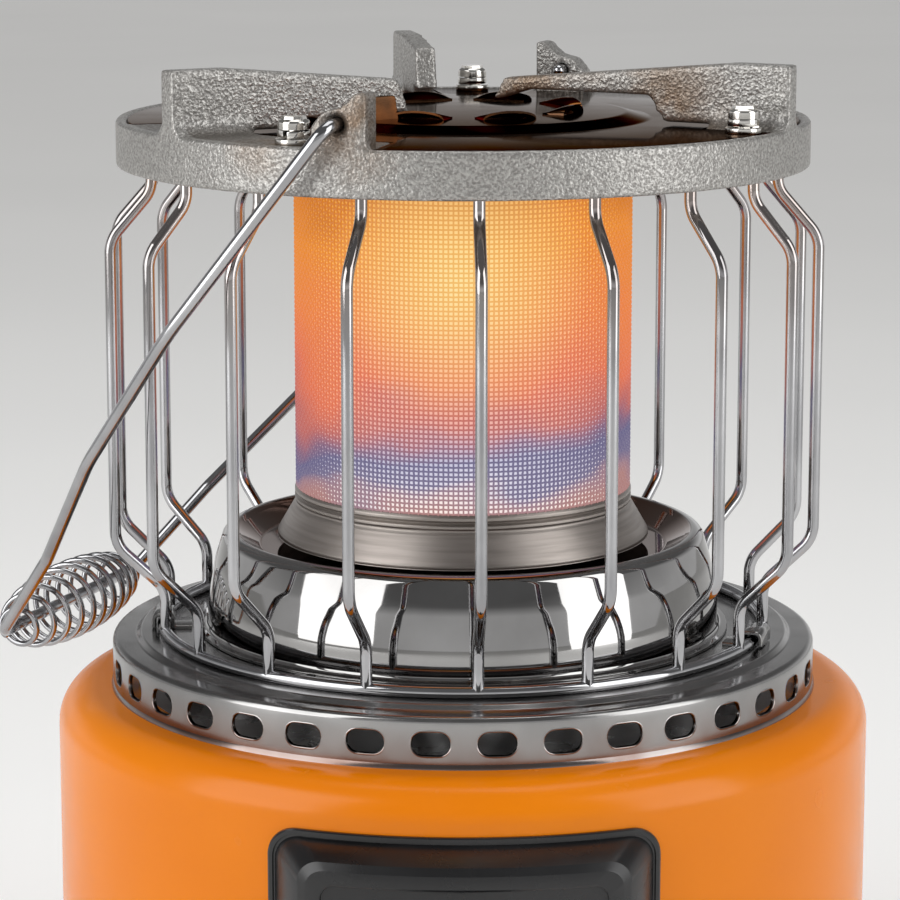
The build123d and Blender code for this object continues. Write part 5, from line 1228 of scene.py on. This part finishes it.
@dataclass
class PotSupport:
    """Cast top with its swirled vanes, the tinted plate in it, and the plate's screws."""

    radius: float = 87.0
    inner: float = 66.0
    recess: float = 84.6
    bottom: float = 267.0
    rim: float = 278.5
    plate_bottom: float = 277.3
    plate_top: float = 278.3
    plate_radius: float = 84.0
    dome_top: float = 280.7
    shoulder_top: float = 279.9
    shoulder: float = 41.0
    dome_foot: float = 47.0
    pivot: float = 284.0
    ear: float = -20.0
    ear_notch: tuple[float, float] = (8.0, 7.3)
    ear_notch_at: tuple[float, float] = (86.0, 0.7)
    eye: float = 3.4
    eye_depth: float = 1.7
    voxel: float = 0.68
    screw_bearings: tuple[float, ...] = (-30.0, 58.0, 178.0)
    screw_circle: float = 79.0
    screw_bore: float = 2.1
    washer: float = 1.4
    washer_radius: float = 4.5
    spring: float = 2.2
    spring_radius: float = 3.9
    spring_rise: float = 0.4
    head: float = 3.0
    head_radius: float = 3.8
    head_slot: float = 1.3
    vanes: tuple[tuple[float, float], ...] = ((60.0, 9.0), (190.0, 1.3), (-60.0, 9.0))
    vane_notch: tuple[float, float] = (12.7, 7.35)
    vane_notch_at: float = 78.0
    deck: tuple[float, float] = (-76.6, -14.4)
    louvres: int = 8
    louvre_circle: float = 27.0
    louvre_slot: tuple[float, float, float] = (6.2, 2.2, 2.1)
    hood_half: float = 7.0
    hood_rise: float = 1.7
    hood_depth: float = 5.6
    hood_wall: float = 0.5
    tab_bearing: float = -60.0
    tab_outline: tuple[tuple[float, float], ...] = ((26.0, 279.4), (37.5, 279.4), (37.0, 285.6), (27.0, 285.9))
    tab_sheet: tuple[float, ...] = (12.6, 12.8, 13.4, 13.6)

    def build(self) -> None:
        """Build the casting, the plate and the screws."""
        self.casting()
        self.plate()
        self.hoods()
        self.screws()

    def casting(self) -> None:
        """The solid's shape and a fine ring, merged on a voxel grid, softened and dimpled at the eyes."""
        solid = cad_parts["pot_support"].data.copy()
        shell = bmesh.new()
        shell.from_mesh(solid)
        bmesh.ops.remove_doubles(shell, verts=shell.verts, dist=MERGE)
        profile = rounded([(self.inner, self.bottom), (self.radius, self.bottom), (self.radius, self.rim),
                           (self.recess, self.rim), (self.recess, self.plate_bottom),
                           (self.inner, self.plate_bottom)], (0.8, 1.0, 0.7, 0.5, 0.4, 0.8), 4, closed=True)
        ring = Shop.mesh("ring", lathe(profile, 256), 30.0)
        shell.from_mesh(ring)
        shell.to_mesh(solid)
        shell.free()
        bpy.data.meshes.remove(ring)
        solid.name = "cast_top"
        piece = bpy.data.objects.new("cast_top", solid)
        bpy.context.scene.collection.objects.link(piece)
        remesh = piece.modifiers.new("skin", "REMESH")
        remesh.mode, remesh.voxel_size = "VOXEL", self.voxel * MM
        soften = piece.modifiers.new("soften", "SMOOTH")
        soften.factor, soften.iterations = 0.5, 4
        Shop.baked(piece)
        self.dimple(piece.data)
        piece.data.shade_smooth()
        Shop.dress(piece, Body.BASE, CAST_ALLOY, ["pot_support"])

    def dimple(self, mesh: bpy.types.Mesh) -> None:
        """Countersink the ears' eyes: points nearer the axis than the eye's radius sink by what is missing."""
        flat = np.empty(3 * len(mesh.vertices))
        mesh.vertices.foreach_get("co", flat)
        points = flat.reshape(-1, 3) / MM
        for bearing in (self.ear, self.ear + 180.0):
            out = place(1.0, 0.0, 0.0, bearing)
            rest = points - (0.0, 0.0, self.pivot)
            along = rest @ out
            away = np.linalg.norm(rest - along[:, None] * out, axis=1)
            facing = along > self.radius - 3.0
            sink = np.where(facing, np.clip(self.eye - away, 0.0, self.eye_depth), 0.0)
            points = points - sink[:, None] * out
        mesh.vertices.foreach_set("co", (points * MM).ravel())
        mesh.update()

    def plate(self) -> None:
        """Domed plate with louvre slots, notched for the vanes' feet, the ears and the casting's deck."""
        wall = self.plate_top - self.plate_bottom
        profile = rounded([(0.0, self.dome_top), (self.shoulder, self.shoulder_top), (self.dome_foot, self.plate_top),
                           (self.plate_radius, self.plate_top), (self.plate_radius, self.plate_bottom),
                           (self.dome_foot, self.plate_bottom), (self.shoulder, self.shoulder_top - wall),
                           (0.0, self.dome_top - wall)], (0.0, 5.0, 5.0, 0.3, 0.3, 5.0, 5.0, 0.0), 6)
        through = (self.plate_bottom - 7.0, self.plate_top + 7.0)
        turn = steps_round(48)
        reach = rounded_reach(turn, *self.louvre_slot)
        slot = prism(np.stack([reach * np.cos(turn), reach * np.sin(turn)], axis=1), through)
        local = Surface(slot.points[:, [1, 0, 2]] + (self.louvre_circle, 0.0, 0.0), slot.quads, slot.ends)
        holes = [carry(local, bearings_round(self.louvres, 0.5))]
        for bearing, offset in self.vanes:
            notch = prism(SQUARE * self.vane_notch + (self.vane_notch_at, offset), through)
            holes.append(carry(notch, (bearing,)))
        ears = prism(SQUARE * self.ear_notch + self.ear_notch_at, through)
        holes.append(carry(ears, (self.ear, self.ear + 180.0)))
        bearing = np.linspace(*self.deck, 64)
        outer, inner = place(self.radius + 4.0, 0.0, 0.0, bearing), place(self.inner - 0.6, 0.0, 0.0, bearing[::-1])
        holes.append(prism(np.concatenate([outer, inner])[:, :2], through))
        Shop.piece("heat_plate", lathe(profile, 224, closed=False), Body.BASE, TINTED_PLATE, ["top_plate"], 25.0,
                   holes=join(holes))

    def hoods(self) -> None:
        """Raised hood over each louvre, open outwards, and a tab bent up by the left vane's end.

        A hood's height over the dome is rise sqrt(1 - u^2) cos(v pi / 2), with u along it and v from its open
        edge inwards. Its rows run inwards on the upper face and back out on the lower.
        """
        steps, inwards = 29, np.linspace(0.0, 1.0, 9)
        u = np.linspace(-1.0, 1.0, steps)[None, :]
        v = np.concatenate([inwards, inwards[::-1]])[:, None]
        thick = np.repeat((self.hood_wall, 0.0), len(inwards))[:, None]
        radius = self.louvre_circle + 2.6 - self.hood_depth * v
        dome = self.dome_top - (self.dome_top - self.shoulder_top) * radius / self.shoulder
        height = dome - 0.1 + thick + self.hood_rise * np.sqrt(1.0 - u ** 2) * np.cos(v * math.pi / 2)
        grid = np.stack(np.broadcast_arrays(radius, self.hood_half * u, height), axis=-1)
        rows = np.arange(len(v)) * steps
        ends = (tuple(rows.tolist()), tuple((rows + steps - 1)[::-1].tolist()))
        hood = Surface(grid.reshape(-1, 3), grid_quads(len(v), steps, True, False), ends)
        Shop.piece("louvre_hoods", carry(hood, bearings_round(self.louvres, 0.5)), Body.BASE, TINTED_PLATE, (), 50.0)
        outline = rounded(self.tab_outline, (0.2, 0.2, 1.6, 1.0), 6, closed=True)
        sheet = prism(outline, self.tab_sheet, (0.2, 0.0, 0.0, 0.2))
        tab = Surface(sheet.points[:, [0, 2, 1]], sheet.quads, sheet.ends)
        Shop.piece("plate_tab", carry(tab, (self.tab_bearing,)), Body.BASE, TINTED_PLATE, (), 40.0)

    def screws(self) -> None:
        """Pan heads on split spring washers and flat washers."""
        low, high = self.plate_top + self.washer, self.plate_top + self.washer + self.spring
        flat = rounded([(self.screw_bore, self.plate_top), (self.washer_radius, self.plate_top),
                        (self.washer_radius, low), (self.screw_bore, low)], 0.25, 3, closed=True)
        washer = upright_ring(flat, self.screw_circle, 48)
        Shop.piece("flat_rings", carry(washer, self.screw_bearings), Body.BASE, SCREW_PLATE, ["flat_washers"])
        tall, steps = self.spring - self.spring_rise, 60
        section = rounded([(self.screw_bore, 0.0), (self.spring_radius, 0.0), (self.spring_radius, tall),
                           (self.screw_bore, tall)], 0.25, 2, closed=True)
        sweep = np.linspace(math.radians(8.0), math.radians(352.0), steps)[:, None]
        rise = self.spring_rise * (sweep - sweep[0]) / (sweep[-1] - sweep[0])
        coil = np.stack(np.broadcast_arrays(self.screw_circle + section[:, 0] * np.cos(sweep),
                                            section[:, 0] * np.sin(sweep), low + section[:, 1] + rise), axis=-1)
        count = len(section)
        ends = (tuple(range(count)), tuple(range(steps * count - 1, (steps - 1) * count - 1, -1)))
        spring = Surface(coil.reshape(-1, 3), grid_quads(steps, count, False, True), ends)
        Shop.piece("split_rings", carry(spring, self.screw_bearings), Body.BASE, SCREW_PLATE, ["spring_washers"])
        head = pan_head(self.head_radius, self.head, self.head_slot)
        local = Surface(head.points + (self.screw_circle, 0.0, high), head.quads)
        Shop.piece("plate_screw_heads", carry(local, self.screw_bearings), Body.BASE, SCREW_PLATE)
        Shop.keep(SCREW_PLATE, "top_screws")


@dataclass
class Bail:
    """Wire bail in the casting's ears, with the barrel-shaped coil round its grip."""

    bearing: float = 160.0
    pivot: float = 284.0
    wire: float = 1.6
    eye: tuple[float, float] = (76.5, 92.0)
    bends: tuple[tuple[float, float], ...] = ((92.0, 115.0), (78.0, 70.0), (50.0, 29.0), (40.0, 0.0))
    bend_radii: tuple[float, ...] = (0.0, 4.5, 30.0, 30.0, 9.0, 4.5)
    grip_out: float = 112.0
    grip_level: float = 145.0
    coil_wire: float = 0.8
    coil_belly: float = 9.5
    coil_length: float = 70.0
    coil_turns: int = 11
    coil_end: float = 2.8

    def build(self) -> None:
        """Build the wire, bent at sides and at distances short of the grip, and its coil."""
        along = place(1.0, 0.0, 0.0, self.bearing)
        level = np.array([-along[1], along[0], 0.0])
        drop = self.pivot - self.grip_level
        reach = math.hypot(self.grip_out, drop)
        away = (level * self.grip_out - np.array([0.0, 0.0, drop])) / reach
        across = np.cross(along, away)
        start = np.array([0.0, 0.0, self.pivot])
        half = np.array([(side, 0.0) for side in self.eye] + [(side, reach - short) for side, short in self.bends])
        flat = np.concatenate([half, half[::-1] * (-1.0, 1.0)])
        line = rounded(start + flat[:, :1] * along + flat[:, 1:] * away, self.bend_radii + self.bend_radii[::-1], 10)
        Shop.piece("bail_rod", tube(line, self.wire, 18, across), Body.BAIL, BAIL_PLATE, ["bail_wire"], 80.0)
        self.coil(start + away * reach, along, away, across)

    def coil(self, middle: Array, along: Array, away: Array, across: Array) -> None:
        """Barrel-shaped coil: radius = belly sqrt(1 - k (2 f - 1)^2) at share f of its length.

        Args:
            middle: Middle of the grip.
            along: Direction of the grip.
            away: Direction from the pivot to the grip.
            across: Direction square to both.
        """
        share = np.linspace(0.0, 1.0, 40 * self.coil_turns + 1)[:, None]
        k = 1.0 - (self.coil_end / self.coil_belly) ** 2
        radius = self.coil_belly * np.sqrt(1.0 - k * (2.0 * share - 1.0) ** 2)
        turn = TAU * self.coil_turns * share
        outward = away * np.cos(turn) + across * np.sin(turn)
        line = middle + along * self.coil_length * (share - 0.5) + outward * radius
        Shop.piece("barrel_coil", tube(line, self.coil_wire, 12, outward), Body.BAIL, BAIL_PLATE, ["grip_spring"],
                   80.0)


class HiddenWorks:
    """Finishes of the solids inside and under the drum."""

    @staticmethod
    def build() -> None:
        """Dress each inner solid with its own finish."""
        Shop.keep(ZINC_STEEL, "base_pan", "bezel_screws", "valve_bracket", "bracket_screws", "valve_nut",
                  "heat_shield", "mixing_tube", "valve_spindle")
        Shop.keep(CAST_ALLOY, "gas_valve")
        Shop.keep(DARK_PLASTIC, "piezo_igniter")
        Shop.keep(BRASS, "spindle_sleeve", "inlet_nut", "gas_jet")
        Shop.keep(GAS_PIPE, "supply_pipe", "burner_pipe")
        Shop.keep(LEAD_SLEEVE, "ignition_lead", "sensor_lead")


@dataclass
class Studio:
    """Pale floor and surroundings, soft lamps, and the camera at the photograph's angle."""

    floor_size: float = 12.0
    floor_tones: tuple[tuple[float, Colour], ...] = ((0.3, (0.83, 0.83, 0.825)), (0.7, (0.86, 0.86, 0.855)))
    floor_glow: float = 0.12
    soft_light: Colour = (1.0, 0.99, 0.975)
    soft_strength: float = 0.42
    seen_tones: tuple[tuple[float, Colour], ...] = ((0.10, (0.72, 0.72, 0.725)), (0.34, (0.17, 0.17, 0.172)))
    boxes: tuple[tuple[str, Triple, tuple[float, float], float], ...] = (
        ("key", (-1.2, -0.75, 0.75), (1.1, 1.5), 15.5), ("fill", (1.25, -0.65, 0.7), (0.9, 1.5), 11.0),
        ("top", (0.1, 0.25, 1.5), (0.9, 0.9), 5.0))
    boxes_aim: Triple = (0.0, 0.0, 0.18)
    camera_at: Triple = (-0.0033, -0.880, 0.361)
    aim_at: Triple = (-0.0033, 0.0, 0.193)
    lens: float = 140.1

    def build(self) -> None:
        """Build the floor, the world, the lamps and the camera."""
        self.floor()
        self.world()
        self.lamps()
        self.camera()
        bpy.context.scene.view_settings.view_transform = "Standard"

    @staticmethod
    def direct(tree: bpy.types.NodeTree) -> bpy.types.NodeSocket:
        """One for rays of the camera, of mirrors and through clear matter, and zero for all others.

        Args:
            tree: Node tree that gets the nodes.

        Returns:
            Socket with the value.
        """
        path = tree.nodes.new("ShaderNodeLightPath")
        seen = path.outputs["Is Camera Ray"]
        for ray in ("Is Glossy Ray", "Is Transmission Ray"):
            larger = tree.nodes.new("ShaderNodeMath")
            larger.operation = "MAXIMUM"
            tree.links.new(seen, larger.inputs[0])
            tree.links.new(path.outputs[ray], larger.inputs[1])
            seen = larger.outputs[0]
        return seen

    def floor(self) -> None:
        """Round pale floor with a faint unevenness."""
        sides = 96
        turn = steps_round(sides)
        rim = self.floor_size * np.stack([np.cos(turn), np.sin(turn), np.zeros(sides)], axis=1)
        mesh = bpy.data.meshes.new("studio_floor")
        mesh.from_pydata(rim, [], [list(range(sides))])
        graph = NodeGraph("studio_floor")
        graph.link(graph.ramp(graph.noise(2.0, 2.0), self.floor_tones), "Base Color")
        graph.fixed(Roughness=0.9, Specular_IOR_Level=0.1, Emission_Color=(1.0, 1.0, 0.99))
        graph.link(graph.maths("MULTIPLY", self.direct(graph.tree), self.floor_glow), "Emission Strength")
        mesh.materials.append(graph.material)
        floor = bpy.data.objects.new("studio_floor", mesh)
        bpy.context.scene.collection.objects.link(floor)

    def world(self) -> None:
        """Soft light from all sides; camera and bright surfaces see it pale at the horizon and dim above."""
        world = bpy.data.worlds.new("studio")
        world.use_nodes = True
        tree = world.node_tree
        tree.nodes.clear()
        soft, seen = tree.nodes.new("ShaderNodeBackground"), tree.nodes.new("ShaderNodeBackground")
        soft.inputs["Color"].default_value = (*self.soft_light, 1.0)
        soft.inputs["Strength"].default_value = self.soft_strength
        apart, grade = tree.nodes.new("ShaderNodeSeparateXYZ"), tree.nodes.new("ShaderNodeValToRGB")
        tree.links.new(tree.nodes.new("ShaderNodeTexCoord").outputs["Generated"], apart.inputs[0])
        tree.links.new(apart.outputs["Z"], grade.inputs["Fac"])
        for stop, (position, tone) in zip(grade.color_ramp.elements, self.seen_tones):
            stop.position, stop.color = position, (*tone, 1.0)
        tree.links.new(grade.outputs["Color"], seen.inputs["Color"])
        seen.inputs["Strength"].default_value = 1.0
        mixed, output = tree.nodes.new("ShaderNodeMixShader"), tree.nodes.new("ShaderNodeOutputWorld")
        tree.links.new(self.direct(tree), mixed.inputs["Fac"])
        tree.links.new(soft.outputs[0], mixed.inputs[1])
        tree.links.new(seen.outputs[0], mixed.inputs[2])
        tree.links.new(mixed.outputs[0], output.inputs["Surface"])
        bpy.context.scene.world = world

    @staticmethod
    def facing(data: bpy.types.ID, at: Triple, aim: Triple) -> bpy.types.Object:
        """Put a lamp or a camera into the scene so that it faces a point.

        Args:
            data: The lamp's or camera's own data, which also gives the name.
            at: Where it stands, in metres.
            aim: Point that it faces, in metres.

        Returns:
            The new object.
        """
        thing = bpy.data.objects.new(data.name, data)
        thing.location = at
        thing.rotation_euler = (Vector(aim) - Vector(at)).to_track_quat("-Z", "Y").to_euler()
        bpy.context.scene.collection.objects.link(thing)
        return thing

    def lamps(self) -> None:
        """Soft boxes: key at the left, fill at the right and a top light."""
        for name, at, size, power in self.boxes:
            data = bpy.data.lights.new(name, "AREA")
            data.shape, data.size, data.size_y, data.energy = "RECTANGLE", *size, power
            self.facing(data, at, self.boxes_aim)

    def camera(self) -> None:
        """Camera at the photograph's height and angle."""
        data = bpy.data.cameras.new("view")
        data.lens, data.sensor_width, data.sensor_fit = self.lens, 36.0, "HORIZONTAL"
        data.clip_start, data.clip_end = 0.05, 60.0
        bpy.context.scene.camera = self.facing(data, self.camera_at, self.aim_at)


def main() -> None:
    """Build the studio and every sub-assembly."""
    logging.basicConfig(level=logging.INFO, format="%(name)s: %(message)s")
    Studio().build()
    BodyDrum().build()
    ControlPanel().build()
    VentRing().build()
    Burner().build()
    WireGuard().build()
    PotSupport().build()
    Bail().build()
    HiddenWorks.build()
    bpy.context.view_layer.update()


if __name__ == "__main__":
    main()
